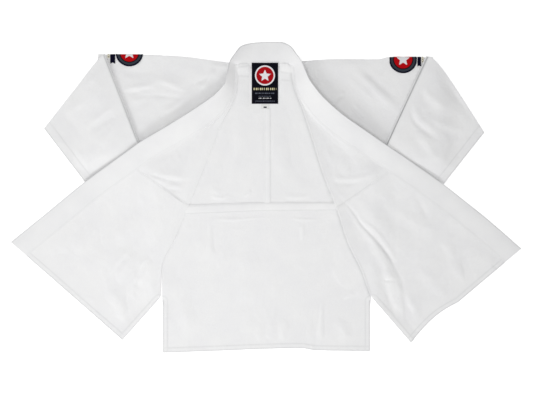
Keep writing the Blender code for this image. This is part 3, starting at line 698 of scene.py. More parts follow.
YOKE_LINES = (
    ((-84.0, 352.0), (-66.0, 358.0), (-47.0, 361.0)),
    ((-90.0, 331.0), (-68.0, 333.5), (-47.0, 331.0)),
    ((42.0, 344.0), (62.0, 341.0)),
    ((44.0, 322.0), (70.0, 320.0)),
)


def rise_to_roll(x, y):
    """The back's cloth comes up a little where a front rolls over it."""
    found = np.zeros(x.shape)
    for side in SIDES:
        path = roll_path(side, 0.0, FRONT_KNOTS[side][VENT_ROW] - 30.0)
        off, along, _, hand = distance_to(path, x, y)
        inner = off * hand if side == "left" else -off * hand
        crest = ROLL_CREST[side] + NECK_CREST[side] * (1.0 - smooth((along - 40.0) / 110.0))
        seen = ROLL_RISE + crest * smooth((inner + 8.0) / 9.0)
        found = np.maximum(found, seen * (1.0 - smooth(np.abs(inner - 1.0) / ROLL_RISE_RUN)))
    return found


def rise_to_band(x, y):
    """Behind the neck the cloth comes up to the collar band's seam."""
    order = np.argsort(NECK_SEAM[:, 0])
    seam_z = np.interp(x, NECK_SEAM[order, 0], NECK_SEAM[order, 1])
    near = smooth((y - 318.0) / 44.0) * smooth((96.0 - np.abs(x)) / 14.0)
    behind_label = 1.0 - 0.75 * smooth((44.0 - np.abs(x + 1.5)) / 8.0)
    return np.maximum(seam_z - BAND / 2 - CLOTH, 0.0) * near * near * behind_label


ROLL_RISE = 1.0
ROLL_CREST = {"left": 3.2, "right": 1.4}
NECK_CREST = {"left": -0.9, "right": 0.8}
ROLL_RISE_RUN = 56.0
NECK_SEAM = np.array([(row[3], row[5]) for row in NECK])


def skirt_surface(across, up):
    hem_x = mix(HEM_TABLE["x"][0], HEM_TABLE["x"][-1], across)
    hem_y = through(HEM_TABLE["x"], HEM_TABLE["y"], hem_x)[:, None]
    waist_x = mix(SIDE_X["left"], SIDE_X["right"], across)[:, None]
    y = hem_y + (WAIST_Y - GAP / 2 - hem_y) * up[None, :]
    x = hem_x[:, None] + (waist_x - hem_x[:, None]) * smooth((y - VENT_Y) / VENT_RUN)
    lift = relief("back_skirt", 13, x, y)
    lift = np.maximum(lift, -0.7)
    near_tape = smooth((-53.0 - y) / 9.0)
    from_hem = smooth((y - hem_y) / 16.0)
    from_sides = smooth((x - HEM_TABLE["x"][0]) / 18.0) * smooth((HEM_TABLE["x"][-1] - x) / 18.0)
    hem = np.stack([hem_x, hem_y[:, 0]], axis=1)
    left = ((HEM_TABLE["x"][0], -428.0), (HEM_TABLE["x"][0], VENT_Y))
    right = ((HEM_TABLE["x"][-1], -423.5), (HEM_TABLE["x"][-1], VENT_Y))
    edges = np.maximum(hemmed(hem[::6], x, y, 3.0), hemmed(left, x, y, 4.0))
    edges = np.maximum(edges, hemmed(right, x, y, 5.0))
    lift = lift * near_tape * (0.25 + 0.75 * from_hem) * (0.3 + 0.7 * from_sides)
    z = BACK_MID + lift + edges + rise_to_roll(x, y)
    return np.stack([x, y, np.maximum(z, BACK_MID)], axis=2)


def sleeve_rings(side, upper_arm, fold, hidden, forearm):
    """Ends of a sleeve's flattened rings, their middle height and the way to the upper
    layer, for places along each stretch. A height of None means draped."""
    s = {name: np.array(value, float) for name, value in SLEEVE[side].items()}
    hand = -1.0 if side == "left" else 1.0
    armhole_x = SIDE_X[side] + hand * GAP
    rings = []

    def square(top, low):
        way = np.array([top[1] - low[1], low[0] - top[0]])
        return way / np.linalg.norm(way)

    outward = square(s["under_top"], s["under_low"]) * hand
    inward = square(s["over_top"], s["over_low"]) * -hand
    for f in upper_arm:
        top_x = mix(armhole_x, s["under_top"][0], f)
        top = np.array([top_x, shoulder_y(top_x)])
        low = mix(np.array([armhole_x, ARMPIT_Y[side]]), s["under_low"], f)
        rings.append((top, low, SLEEVE_MID, (0.0, 0.0, 1.0), 0.0))
    for f in fold[1:]:
        angle = math.pi * f
        shift = outward * FOLD_RADIUS * math.sin(angle)
        z = SLEEVE_MID + FOLD_RADIUS * (1 - math.cos(angle))
        way = (*(-outward * math.sin(angle)), math.cos(angle))
        rings.append((s["under_top"] + shift, s["under_low"] + shift, z, way, 0.0))
    for f in hidden[1:]:
        top = mix(s["under_top"], s["over_top"], f)
        low = mix(s["under_low"], s["over_low"], f)
        rings.append((top, low, SLEEVE_MID + 2 * FOLD_RADIUS, (0.0, 0.0, -1.0), 0.0))
    for f in fold[1:]:
        angle = math.pi * f
        shift = inward * FOLD_RADIUS * math.sin(angle)
        z = SLEEVE_MID + 2 * FOLD_RADIUS + FOLD_RADIUS * (1 - math.cos(angle))
        way = (*(inward * math.sin(angle)), -math.cos(angle))
        rings.append((s["over_top"] + shift, s["over_low"] + shift, z, way, 0.0))
    away = square(s["over_top"], s["cuff_top"]) * hand
    for f in forearm[1:]:
        top = mix(s["over_top"], s["cuff_top"], f)
        top = top + away * SLEEVE[side]["bulge"] * math.sin(math.pi * math.sqrt(f))
        low = mix(s["over_low"], s["cuff_low"], f)
        rings.append((top, low, None, (0.0, 0.0, 1.0), f))
    return rings


def drape_heights(side, x, y):
    """Middle height of a forearm over the folded layers and down to the floor."""
    s = SLEEVE[side]
    f = (s["under_top"][1] - y) / (s["under_top"][1] - s["under_low"][1])
    crease_x = abs(s["under_top"][0]) * (1 - f) + abs(s["under_low"][0]) * f
    past = np.maximum(np.abs(x) - crease_x - 2 * FOLD_RADIUS, 0.0)
    below = np.maximum(s["under_low"][1] - y, 0.0)
    return SLEEVE_MID + 4 * FOLD_RADIUS * (1.0 - smooth(np.hypot(past, below) / DRAPE_RUN))


def sleeve_surface(side, rings, lower, edge, upper):
    """A sleeve's cloth: each row is one flattened ring, its lower layer, lower edge, upper
    layer and top edge in turn."""
    top = np.array([ring[0] for ring in rings])[:, None, :]
    low = np.array([ring[1] for ring in rings])[:, None, :]
    way = np.array([ring[3] for ring in rings])[:, None, :]
    draped = np.array([ring[2] is None for ring in rings])[:, None]
    flat_z = np.array([ring[2] or 0.0 for ring in rings])[:, None]
    past = np.array([ring[4] for ring in rings])[:, None]
    wide = np.linalg.norm(low - top, axis=2)
    inner = wide - 2 * LAYER_HALF
    angle = math.pi * edge[None, :]
    ones = np.ones_like(wide)
    across = np.concatenate(
        [
            LAYER_HALF + inner * lower[None, :],
            wide - LAYER_HALF + LAYER_HALF * np.sin(angle[:, 1:]),
            wide - LAYER_HALF - inner * upper[None, 1:],
            LAYER_HALF - LAYER_HALF * np.sin(angle[:, 1:-1]) * ones,
        ],
        axis=1,
    )
    rise = np.concatenate(
        [
            np.full((1, len(lower)), -LAYER_HALF),
            -LAYER_HALF * np.cos(angle[:, 1:]),
            np.full((1, len(upper) - 1), LAYER_HALF),
            LAYER_HALF * np.cos(angle[:, 1:-1]),
        ],
        axis=1,
    )
    place = top + (low - top) * (across / wide)[:, :, None]
    x = place[:, :, 0]
    y = place[:, :, 1]
    z = np.where(draped, drape_heights(side, x, y), flat_z)
    inside = smooth(across / FADE_RUN) * smooth((wide - across) / FADE_RUN)
    layer = (rise > 0) * np.clip(rise / LAYER_HALF, 0.0, 1.0)
    lift = relief("sleeve_" + side, 19 if side == "left" else 23, x, y)
    lift = np.where(draped, lift, arm_relief(side, x, y))
    after_fold = np.where(draped, smooth(past * 5.0), 1.0)
    first = len([ring for ring in rings if ring[3][2] == 1.0 and ring[2] is not None])
    shown = draped | (np.arange(len(rings))[:, None] < first)
    near_edge = smooth(across / 14.0) * smooth((wide - across) / 14.0)
    z = z + np.where(shown, lift * np.where(draped, near_edge, 1.0) * after_fold * layer, 0.0)
    z = z + open_fold(side, rings, x, y, wide, across)
    loft = LOFT * inside * np.where(draped, np.sin(math.pi * np.clip(past * 1.15 + 0.1, 0, 1)) ** 0.7, 0.0)
    z = z + loft * layer
    cuff = np.array([SLEEVE[side]["cuff_top"], SLEEVE[side]["cuff_low"]])
    off = distance_to(cuff, x, y)[0]
    doubled = 0.4 * (1.0 - smooth((off - CUFF_HEM) / 1.6)) - 0.4 * np.exp(-(((off - CUFF_HEM + 1.8) / 1.6) ** 2))
    z = z + np.where(draped, doubled * layer * near_edge, 0.0)
    return np.stack([x + way[:, :, 0] * rise, y + way[:, :, 1] * rise, z + way[:, :, 2] * rise], axis=2)


CUFF_HEM = 24.0
FOLD_OPEN = {"left": 1.4, "right": 3.5}
FOLD_OPEN_RUN = 95.0


def open_fold(side, rings, x, y, wide, across):
    """The forearm stands off the upper arm along its fold, more towards the lower end."""
    s = SLEEVE[side]
    weight = []
    folds = [k for k, ring in enumerate(rings) if ring[3][2] < 0.999 and k > len(rings) / 2 - 40]
    hidden = [k for k, ring in enumerate(rings) if ring[3][2] == -1.0]
    for k, ring in enumerate(rings):
        if ring[2] is None:
            weight.append(1.0)
        elif k > max(hidden) and k in folds:
            weight.append((1.0 - ring[3][2] * -1.0) / 2 if ring[3][2] < 0 else (1.0 + ring[3][2]) / 2)
        else:
            weight.append(0.0)
    weight = np.array(weight)[:, None]
    path = np.array([s["over_top"], s["over_low"]])
    off, along, long, _ = distance_to(path, x, y)
    share = along / long
    profile = share**2
    return FOLD_OPEN[side] * weight * profile * (1.0 - smooth(off / FOLD_OPEN_RUN))


def label_height(x, y):
    left, right, _, _ = LABEL_BOX
    u = (x - left) / (right - left)
    rise = smooth((y - LABEL_RISES[0]) / (LABEL_RISES[1] - LABEL_RISES[0]))
    on_band = LABEL_ON_BAND + LABEL_SIDES_RISE * (2 * u - 1) ** 2
    return ON_BACK + (on_band - ON_BACK) * rise


def sleeve_top_y(side, x):
    """The sleeve's top fold, straight between the same places as the solid's."""
    hand = -1.0 if side == "left" else 1.0
    armhole_x = SIDE_X[side] + hand * GAP
    end_x = SLEEVE[side]["under_top"][0]
    stops = armhole_x + (end_x - armhole_x) * np.linspace(0.0, 1.0, 6)
    order = np.argsort(stops)
    return np.interp(x, stops[order], shoulder_y(stops)[order])


def on_sleeve_top(side, x, down, lift):
    """Places down from the upper sleeve's top fold, lift above its cloth."""
    radius = LAYER_HALF + CLOTH / 2 + lift
    quarter = radius * math.pi / 2
    top_y = sleeve_top_y(side, x)
    angle = np.minimum(down / radius, math.pi / 2)
    past = np.maximum(down - quarter, 0.0)
    y = top_y - LAYER_HALF + radius * np.cos(angle) - past
    return np.stack([x, y, SLEEVE_MID + radius * np.sin(angle)], axis=-1)


# ---- finishes


def linear(code):
    """An sRGB hex colour as linear red, green, blue and alpha."""
    found = []
    for i in (0, 2, 4):
        value = int(code[i:i + 2], 16) / 255.0
        found.append(value / 12.92 if value <= 0.04045 else ((value + 0.055) / 1.055) ** 2.4)
    return (*found, 1.0)


def node(tree, kind, settings=None, **links):
    """Adds a node. settings are its properties and socket values, links are its inputs, by
    socket name with _ for a space."""
    made = tree.nodes.new(kind)
    for name, value in (settings or {}).items():
        if name in made.inputs:
            made.inputs[name].default_value = value
        else:
            setattr(made, name, value)
    for name, source in links.items():
        tree.links.new(made.inputs[name.replace("_", " ")], source)
    return made


def finish_material(name, base, roughness, sheen):
    """A material's Principled shader with its constant values set on its own sockets."""
    made = bpy.data.materials.new(name)
    made.use_nodes = True
    shader = made.node_tree.nodes["Principled BSDF"]
    shader.inputs["Base Color"].default_value = linear(base)
    shader.inputs["Roughness"].default_value = roughness
    shader.inputs["Sheen Weight"].default_value = sheen
    shader.inputs["Sheen Roughness"].default_value = 0.6
    shader.inputs["IOR"].default_value = 1.5
    shader.inputs["Specular IOR Level"].default_value = 0.25
    return made, made.node_tree, shader


def shaded_colour(tree, shader, low, high, scale, source):
    """A colour that drifts softly between two hex values over the cloth, and is a little
    greyer wherever the "seam" attribute is set: painted shade along stitched rows, edges, folds and cast shadows."""
    drift = node(tree, "ShaderNodeTexNoise", {"Scale": scale, "Detail": 4.0, "Roughness": 0.55}, Vector=source)
    spread = node(tree, "ShaderNodeMapRange", {"From Min": 0.32, "From Max": 0.68}, Value=drift.outputs["Fac"])
    mixed = node(tree, "ShaderNodeMix", {"data_type": "RGBA"}, Factor=spread.outputs["Result"])
    mixed.inputs[6].default_value = linear(low)
    mixed.inputs[7].default_value = linear(high)
    # The "seam" attribute holds painted shade.
    shade_marks = node(tree, "ShaderNodeAttribute", {"attribute_name": "seam"})
    greyed = node(tree, "ShaderNodeMix", {"data_type": "RGBA", "blend_type": "MULTIPLY"}, Factor=shade_marks.outputs["Fac"])
    tree.links.new(greyed.inputs[6], mixed.outputs[2])
    greyed.inputs[7].default_value = linear(PAINTED_SHADE_GREY)
    tree.links.new(shader.inputs["Base Color"], greyed.outputs[2])


# The grey that painted shade darkens the cloth colour towards.
PAINTED_SHADE_GREY = "B4B6B6"


def pearl_weave():
    """Pearl weave cotton, bleached: rows of small raised pebbles, 2.2 mm by 1.6 mm, each
    row shifted by half. It looks matt, with a fine grain and a soft edge."""
    made, tree, shader = finish_material("pearl_weave_cotton", "F1F1F1", 0.92, 0.12)
    uv = node(tree, "ShaderNodeUVMap", {"uv_map": "cloth"}).outputs["UV"]
    place = node(tree, "ShaderNodeTexCoord").outputs["Object"]
    shaded_colour(tree, shader, "F3F3F4", "F6F6F6", 16.0, place)
    pebbles = node(tree, "ShaderNodeMapping", {"Scale": (1 / 0.0022, 1 / 0.0032, 1.0)}, Vector=uv)
    bricks = node(
        tree, "ShaderNodeTexBrick",
        {
            "offset": 0.5, "squash": 1.0, "Scale": 1.0, "Mortar Size": 0.16, "Mortar Smooth": 1.0,
            "Brick Width": 1.0, "Row Height": 0.5, "Color1": (1, 1, 1, 1), "Color2": (0.86, 0.86, 0.86, 1),
            "Mortar": (0, 0, 0, 1),
        },
        Vector=pebbles.outputs["Vector"],
    )
    fibre = node(tree, "ShaderNodeTexNoise", {"Scale": 900.0, "Detail": 2.0}, Vector=place)
    weave = node(
        tree, "ShaderNodeBump", {"Strength": 0.5, "Distance": 0.0005}, Height=bricks.outputs["Color"]
    )
    slub = node(tree, "ShaderNodeTexNoise", {"Scale": 150.0, "Detail": 3.0, "Roughness": 0.6}, Vector=place)
    uneven = node(
        tree, "ShaderNodeBump", {"Strength": 0.22, "Distance": 0.0016},
        Height=slub.outputs["Fac"], Normal=weave.outputs["Normal"],
    )
    fuzz = node(
        tree, "ShaderNodeBump", {"Strength": 0.2, "Distance": 0.0002},
        Height=fibre.outputs["Fac"], Normal=uneven.outputs["Normal"],
    )
    tree.links.new(shader.inputs["Normal"], fuzz.outputs["Normal"])
    return made


def twill(name, base, low, high, pitch, strength):
    """Cotton twill: fine slanting ribs at the given pitch in metres, matt."""
    made, tree, shader = finish_material(name, base, 0.88, 0.1)
    uv = node(tree, "ShaderNodeUVMap", {"uv_map": "cloth"}).outputs["UV"]
    place = node(tree, "ShaderNodeTexCoord").outputs["Object"]
    shaded_colour(tree, shader, low, high, 11.0, place)
    slanted = node(tree, "ShaderNodeMapping", {"Rotation": (0.0, 0.0, math.radians(62.0))}, Vector=uv)
    ribs = node(
        tree, "ShaderNodeTexWave",
        {"wave_type": "BANDS", "bands_direction": "X", "Scale": math.tau / (20.0 * pitch), "Distortion": 0.6, "Detail": 1.0},
        Vector=slanted.outputs["Vector"],
    )
    bump = node(tree, "ShaderNodeBump", {"Strength": strength, "Distance": 0.0003}, Height=ribs.outputs["Fac"])
    tree.links.new(shader.inputs["Normal"], bump.outputs["Normal"])
    return made


def thread():
    """Spun cotton sewing thread: two plies with a slow twist, a little shinier than the
    cloth."""
    # The thread is set a little greyer than the cloth: partly its own colour, partly painted shade for the small
    # shadows round each stitch.
    made, tree, shader = finish_material("cotton_thread", "E4E5E5", 0.7, 0.05)
    uv = node(tree, "ShaderNodeTexCoord").outputs["Object"]
    plies = node(
        tree, "ShaderNodeTexWave",
        {"wave_type": "BANDS", "bands_direction": "DIAGONAL", "Scale": 380.0, "Distortion": 0.4},
        Vector=uv,
    )
    bump = node(tree, "ShaderNodeBump", {"Strength": 0.4, "Distance": 0.0001}, Height=plies.outputs["Fac"])
    tree.links.new(shader.inputs["Normal"], bump.outputs["Normal"])
    return made


def woven_artwork(name, roughness, sheen, pitch):
    """Satin-woven or embroidered polyester: the colours are in the piece's own attribute,
    with the fine cross ribs of its threads over them."""
    made, tree, shader = finish_material(name, "FFFFFF", roughness, sheen)
    shader.inputs["Specular IOR Level"].default_value = 0.05
    colours = node(tree, "ShaderNodeAttribute", {"attribute_name": "design"})
    tree.links.new(shader.inputs["Base Color"], colours.outputs["Color"])
    uv = node(tree, "ShaderNodeUVMap", {"uv_map": "cloth"}).outputs["UV"]
    ribs = node(
        tree, "ShaderNodeTexWave",
        {"wave_type": "BANDS", "bands_direction": "Y", "Scale": math.tau / (20.0 * pitch), "Distortion": 0.8},
        Vector=uv,
    )
    bump = node(tree, "ShaderNodeBump", {"Strength": 0.35, "Distance": 0.0002}, Height=ribs.outputs["Fac"])
    tree.links.new(shader.inputs["Normal"], bump.outputs["Normal"])
    return made


def make_materials():
    return {
        "cloth": pearl_weave(),
        "band": twill("cotton_twill_band", "EEEEEE", "ECECED", "F2F2F2", 0.0016, 0.3),
        "tape": twill("cotton_tape", "F0F0F0", "EEEEEF", "F4F4F4", 0.0012, 0.35),
        "thread": thread(),
        "label": woven_artwork("woven_satin_label", 0.6, 0.0, 0.0009),
        "patch": woven_artwork("embroidered_patch", 0.7, 0.0, 0.0012),
    }


# ---- making pieces


def select_only(obj):
    bpy.ops.object.select_all(action="DESELECT")
    obj.select_set(True)
    bpy.context.view_layer.objects.active = obj


def kept_values(obj):
    """The values that grid_piece kept with each vertex, by name."""
    found = {}
    for name in ("off_x", "off_y"):
        values = np.empty(len(obj.data.vertices), np.float32)
        obj.data.attributes[name].data.foreach_get("value", values)
        obj.data.attributes.remove(obj.data.attributes[name])
        found[name] = values
    return found


def grid_piece(name, points, joined=False, keep=None):
    """A sheet from a plain grid, each vertex put at its point. joined closes it round, and
    keep is values to keep with each point."""
    rows, columns = points.shape[:2]
    bpy.ops.object.select_all(action="DESELECT")
    bpy.ops.mesh.primitive_grid_add(x_subdivisions=rows - 1, y_subdivisions=columns - 1, size=1.0)
    obj = bpy.context.active_object
    obj.name = name
    obj.data.name = name
    mesh = obj.data
    flat = np.empty(len(mesh.vertices) * 3, np.float32)
    mesh.vertices.foreach_get("co", flat)
    flat = flat.reshape(-1, 3)
    i = np.rint((flat[:, 0] + 0.5) * (rows - 1)).astype(int)
    j = np.rint((flat[:, 1] + 0.5) * (columns - 1)).astype(int)
    placed = (points[i, j] - np.array([ORIGIN[0], ORIGIN[1], 0.0])) * MM
    mesh.vertices.foreach_set("co", placed.astype(np.float32).ravel())
    along = np.zeros((rows, columns))
    along[1:] = np.cumsum(np.linalg.norm(np.diff(points, axis=0), axis=2), axis=0)
    along = np.broadcast_to(np.median(along, axis=1)[:, None], along.shape)
    across = np.zeros((rows, columns))
    across[:, 1:] = np.cumsum(np.linalg.norm(np.diff(points, axis=1), axis=2), axis=1)
    while mesh.uv_layers:
        mesh.uv_layers.remove(mesh.uv_layers[0])
    layer = mesh.uv_layers.new(name="cloth")
    corner = np.empty(len(mesh.loops), np.int32)
    mesh.loops.foreach_get("vertex_index", corner)
    uv = np.stack([along[i, j], across[i, j]], axis=1)[corner] * MM
    layer.data.foreach_set("uv", uv.astype(np.float32).ravel())
    for kept, values in (keep or {}).items():
        mesh.attributes.new(name=kept, type="FLOAT", domain="POINT").data.foreach_set(
            "value", values[i, j].astype(np.float32)
        )
    work = bmesh.new()
    work.from_mesh(mesh)
    if joined:
        bmesh.ops.remove_doubles(work, verts=work.verts, dist=0.01 * MM)
    bmesh.ops.recalc_face_normals(work, faces=work.faces)
    work.to_mesh(mesh)
    work.free()
    return obj


def places_of(obj):
    """Each vertex's x and y in table millimetres."""
    found = np.empty(len(obj.data.vertices) * 3, np.float32)
    obj.data.vertices.foreach_get("co", found)
    found = found.reshape(-1, 3) / MM
    return found[:, 0] + ORIGIN[0], found[:, 1] + ORIGIN[1]


def colour_points(obj, colours):
    """Gives each vertex its colour from the design, before the cloth has its thickness."""
    layer = obj.data.color_attributes.new(name="design", type="FLOAT_COLOR", domain="POINT")
    layer.data.foreach_set("color", colours.astype(np.float32).ravel())


def paint_shade_lines(obj, paths, edges, inset_by):
    """Paints shade into the cloth's "seam" attribute: along each path, along each edge and
    along a stitched row inset from these hem edges. This is painted shade for grooves, folds, rounded edges and cast
    shadows. Each path comes with its half width and strength."""
    x, y = places_of(obj)
    found = np.zeros(x.shape)
    for path, half_width, strength in paths:
        off = distance_to(path, x, y)[0]
        found = np.maximum(found, strength * np.exp(-((off / half_width) ** 2)))
    # Painted shade along each edge, for the shading of its rounded turn, and along the stitched row, for the shadow
    # in its groove.
    for path in edges:
        off = distance_to(path, x, y)[0]
        found = np.maximum(found, 0.5 * np.exp(-((off / 2.1) ** 2)))
        if inset_by:
            found = np.maximum(found, 0.15 * np.exp(-(((off - inset_by) / 1.9) ** 2)))
    layer = obj.data.attributes.new(name="seam", type="FLOAT", domain="POINT")
    layer.data.foreach_set("value", found.astype(np.float32))


def thicken(obj, thick):
    select_only(obj)
    wall = obj.modifiers.new("thickness", "SOLIDIFY")
    wall.thickness = thick * MM
    wall.offset = 0.0
    wall.use_even_offset = True
    wall.use_quality_normals = True
    bpy.ops.object.modifier_apply(modifier=wall.name)


def finish_piece(obj, material, nodes, sharp=50.0):
    """Smooth faces, one material, and its place in the frame."""
    obj.data.materials.clear()
    obj.data.materials.append(material)
    select_only(obj)
    bpy.ops.object.shade_smooth_by_angle(angle=math.radians(sharp))
    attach(obj, "root")
    if nodes:
        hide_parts(*nodes)
    return obj


# Painted shade beside each roll, where the fold's crevice is in shade.
ROLL_SHADE = {"left": 0.03, "right": 0.26}


def roll_shade(side):
    """Painted shade along a roll's edge, its half width and strength."""
    return roll_path(side, 20.0, FRONT_KNOTS[side][VENT_ROW] - 8.0), 5.0, ROLL_SHADE[side]


def skirt_edges():
    x = np.linspace(HEM_TABLE["x"][0], HEM_TABLE["x"][-1], 40)
    hem = np.stack([x, through(HEM_TABLE["x"], HEM_TABLE["y"], x)], axis=1)
    left = ((HEM_TABLE["x"][0], -428.0), (HEM_TABLE["x"][0], VENT_Y + 20.0))
    right = ((HEM_TABLE["x"][-1], -423.5), (HEM_TABLE["x"][-1], VENT_Y + 20.0))
    return [hem, left, right]


def make_back(finishes):
    made = {}
    for side in SIDES:
        middle = abs(CENTRE_X - SIDE_X[side])
        outer = np.linspace(0.0, (middle - 160.0) / middle, 12)[:-1]
        inner = 1.0 - spaced(160.0, 0.0, 2.6) / middle
        points = back_surface(side, np.concatenate([outer, inner]), np.linspace(0.0, 1.0, 142))
        obj = grid_piece(f"back_{side}_cloth", points)
        # Painted shade along the yoke seams and beside the rolls.
        lines = [(line, 2.2, 0.15) for line in YOKE_LINES]
        paint_shade_lines(obj, lines + [roll_shade(side)], [], 0.0)
        thicken(obj, CLOTH)
        made[side] = finish_piece(obj, finishes["cloth"], [f"back_{side}"])
    points = skirt_surface(np.linspace(0.0, 1.0, 210), np.linspace(0.0, 1.0, 147))
    obj = grid_piece("back_skirt_cloth", points)
    # Painted shade beside the rolls, along the hems' edges and along their stitched rows.
    paint_shade_lines(obj, [roll_shade(side) for side in SIDES], skirt_edges(), HEM_FOLD - 1.6)
    thicken(obj, CLOTH)
    made["skirt"] = finish_piece(obj, finishes["cloth"], ["back_skirt"])
    return made


def make_front(side, finishes):
    made = {}
    knots = FRONT_KNOTS[side]
    waist = knots[WAIST_ROW]
    turn = np.concatenate([[0.0, 0.17], spaced(1 / 3, 2 / 3, 0.04), [0.72, 0.78, 0.84, 0.9, 0.95, 1.0]])
    stops = {"upper": (knots[0], waist - GAP / 2, 52, 66), "skirt": (waist + GAP / 2, knots[-1], 6, 122)}
    for name, (first, last, below, cells) in stops.items():
        leg = np.linspace(0.0, 1.0, below)
        points = front_surface(side, spaced(first, last, 2.7), leg, turn, np.linspace(0.0, 1.0, cells))
        obj = grid_piece(f"front_{side}_{name}_cloth", points)
        edges = [hem_path(side), roll_path(side, knots[VENT_ROW] + 6.0, knots[-1])]
        # Painted shade along the waist seam, beside the roll, along the hem and vent edges and their stitched rows.
        paint_shade_lines(obj, [(waist_seam(side), 1.9, 0.12), roll_shade(side)], edges, HEM_FOLD - 1.6)
        thicken(obj, CLOTH)
        made[name] = finish_piece(obj, finishes["cloth"], [f"front_{side}_{name}"])
    return made


# Painted shade in the crevice beside each elbow fold, and a painted shadow that the lapel casts on the forearm.
FOLD_SHADE = {"left": 0.62, "right": 0.95}
FOLD_SHADE_RUN = 1.9
LAPEL_SHADE = {"left": 0.34, "right": 0.3}
LAPEL_SHADE_RUN = {"left": 7.5, "right": 3.5}


def forearm_lapel(side):
    """The part of the lapel edge that lies on the forearm."""
    path = lapel_path(side)
    beyond = np.abs(path[:, 0]) > abs(SLEEVE[side]["over_low"][0]) + 6.0
    return path[beyond]


def make_sleeve(side, finishes):
    s = SLEEVE[side]
    upper_arm = np.linspace(0.0, 1.0, 63)
    fold = np.linspace(0.0, 1.0, 11)
    hidden = np.linspace(0.0, 1.0, 3)
    forearm = np.linspace(0.0, 1.0, 84)
    rings = sleeve_rings(side, upper_arm, fold, hidden, forearm)
    points = sleeve_surface(
        side, rings, np.linspace(0.0, 1.0, 26), np.linspace(0.0, 1.0, 9), np.linspace(0.0, 1.0, 97)
    )
    points = np.concatenate([points, points[:, :1]], axis=1)
    obj = grid_piece(f"sleeve_{side}_cloth", points, joined=True)
    cuff = (s["cuff_top"], s["cuff_low"])
    # Painted shade along the elbow fold's crevice, a painted shadow beside the lapel on the forearm, and painted
    # shade at the cuff's edge and stitched row.
    fold_crevice_shade = ((s["over_top"], s["over_low"]), FOLD_SHADE_RUN, FOLD_SHADE[side])
    lapel_cast_shadow = (forearm_lapel(side), LAPEL_SHADE_RUN[side], LAPEL_SHADE[side])
    paint_shade_lines(obj, [fold_crevice_shade, lapel_cast_shadow], [cuff], CUFF_HEM - 1.8)
    thicken(obj, CLOTH)
    return finish_piece(obj, finishes["cloth"], [f"sleeve_{side}"])


def make_band(finishes):
    edge = 1.0 - (1.0 - np.cos(np.linspace(math.pi / 2, 0.0, 7))) * 0.0411
    top = np.concatenate([np.linspace(0.0, 0.9589, 47), edge[1:]])
    under = np.concatenate([edge[-2::-1][:5], np.linspace(0.93, 0.0, 9)])
    points = band_surface(spaced(0.0, BAND_LONG, 4.0), top, under)
    points = np.concatenate([points, points[:, :1]], axis=1)
    obj = grid_piece("collar_band_cloth", points, joined=True)
    free_edge = np.stack([BAND_TABLE["out_x"], BAND_TABLE["out_y"]], axis=1)
    # Painted shade along the band's free edge, for the shading of its rounded turn.
    paint_shade_lines(obj, [(free_edge, 2.0, 0.35)], [], 0.0)
    work = bmesh.new()
    work.from_mesh(obj.data)
    ends = [edge for edge in work.edges if edge.is_boundary]
    bmesh.ops.holes_fill(work, edges=ends, sides=0)
    bmesh.ops.recalc_face_normals(work, faces=work.faces)
    work.to_mesh(obj.data)
    work.free()
    return finish_piece(obj, finishes["band"], ["collar_band"])


def make_tapes(finishes):
    made = {}
    x = spaced(TAPE_TABLE["x"][0], TAPE_TABLE["x"][-1], 2.5)[:, None]
    low = through(TAPE_TABLE["x"], TAPE_TABLE["bottom"], x)
    high = through(TAPE_TABLE["x"], TAPE_TABLE["top"], x)
    f = np.linspace(0.0, 1.0, 21)[None, :]
    y = low + (high - low) * f
    x = np.broadcast_to(x, y.shape)
    z = ON_BACK + 0.45 + tape_relief(x, f) + rise_to_roll(x, y)
    obj = grid_piece("waist_tape_strip", np.stack([x, y, z], axis=2))
    # Painted shade along the tape's edges and stitched rows, for the shadows in their grooves.
    rows = [np.stack([x[:, k], y[:, k]], axis=1)[::8] for k in (-1, -3, 2, 0)]
    paint_shade_lines(obj, [(path, 1.6, strength) for path, strength in zip(rows, (0.12, 0.1, 0.1, 0.12))], [], 0.0)
    thicken(obj, 0.9)
    made["waist"] = finish_piece(obj, finishes["tape"], ["waist_tape"])
    low = float(through(TAPE_TABLE["x"], TAPE_TABLE["top"], CENTRE_X)) + GAP
    f = np.linspace(0.0, 1.0, 15)[:, None]
    y = spaced(low, CENTRE_TAPE_TOP, 2.5)[None, :]
    x = CENTRE_X + CENTRE_TAPE_HALF * (2 * f - 1) + 0.0 * y
    y = np.broadcast_to(y, x.shape)
    z = ON_BACK + 0.3 + tape_relief(y, f)
    obj = grid_piece("centre_tape_strip", np.stack([x, y, z], axis=2))
    thicken(obj, 0.6)
    made["centre"] = finish_piece(obj, finishes["tape"], ["centre_back_tape"])
    return made


def tape_relief(along, f):
    """A tape that is a little fuller between its two rows of stitches, with puckers."""
    full = 0.55 * np.sin(math.pi * np.clip(f, 0.0, 1.0)) ** 0.6
    rows = -0.3 * (np.exp(-(((f - 0.12) / 0.05) ** 2)) + np.exp(-(((f - 0.88) / 0.05) ** 2)))
    wave = np.sin(along * math.tau / 15.0 + 2.0 * np.sin(along / 33.0))
    return np.maximum(full + rows + 0.12 * wave * full, 0.0)


LABEL_COLOURS = {
    "navy": "080813", "white": "E8E8EA", "red": "A60A14", "cream": "CFC9A0", "grey": "6E7482",
}


def painted(shape, code):
    return np.broadcast_to(np.array(linear(code)), (*shape, 4)).copy()


def star(x, y, size, points=5):
    """A plain star of this many points and half width."""
    angle = np.arctan2(x, y)
    fold = math.pi / points
    turned = np.abs(np.mod(angle + fold, 2 * fold) - fold)
    off = np.hypot(x, y)
    inner = 0.46
    lean = math.atan2(inner * math.sin(fold), 1.0 - inner * math.cos(fold))
    reach = size * math.sin(lean) / np.sin(turned + lean)
    return off < reach


def dashes(x, y, row_y, height, half, pitch, fill):
    """A line of short woven marks of uneven length, which say nothing."""
    step = np.floor((x + half) / pitch)
    width = fill * (0.72 + 0.28 * np.sin(step * 2.4))
    inside = np.mod(x + half, pitch) < pitch * width
    return (np.abs(y - row_y) < height / 2) & (np.abs(x) < half) & inside


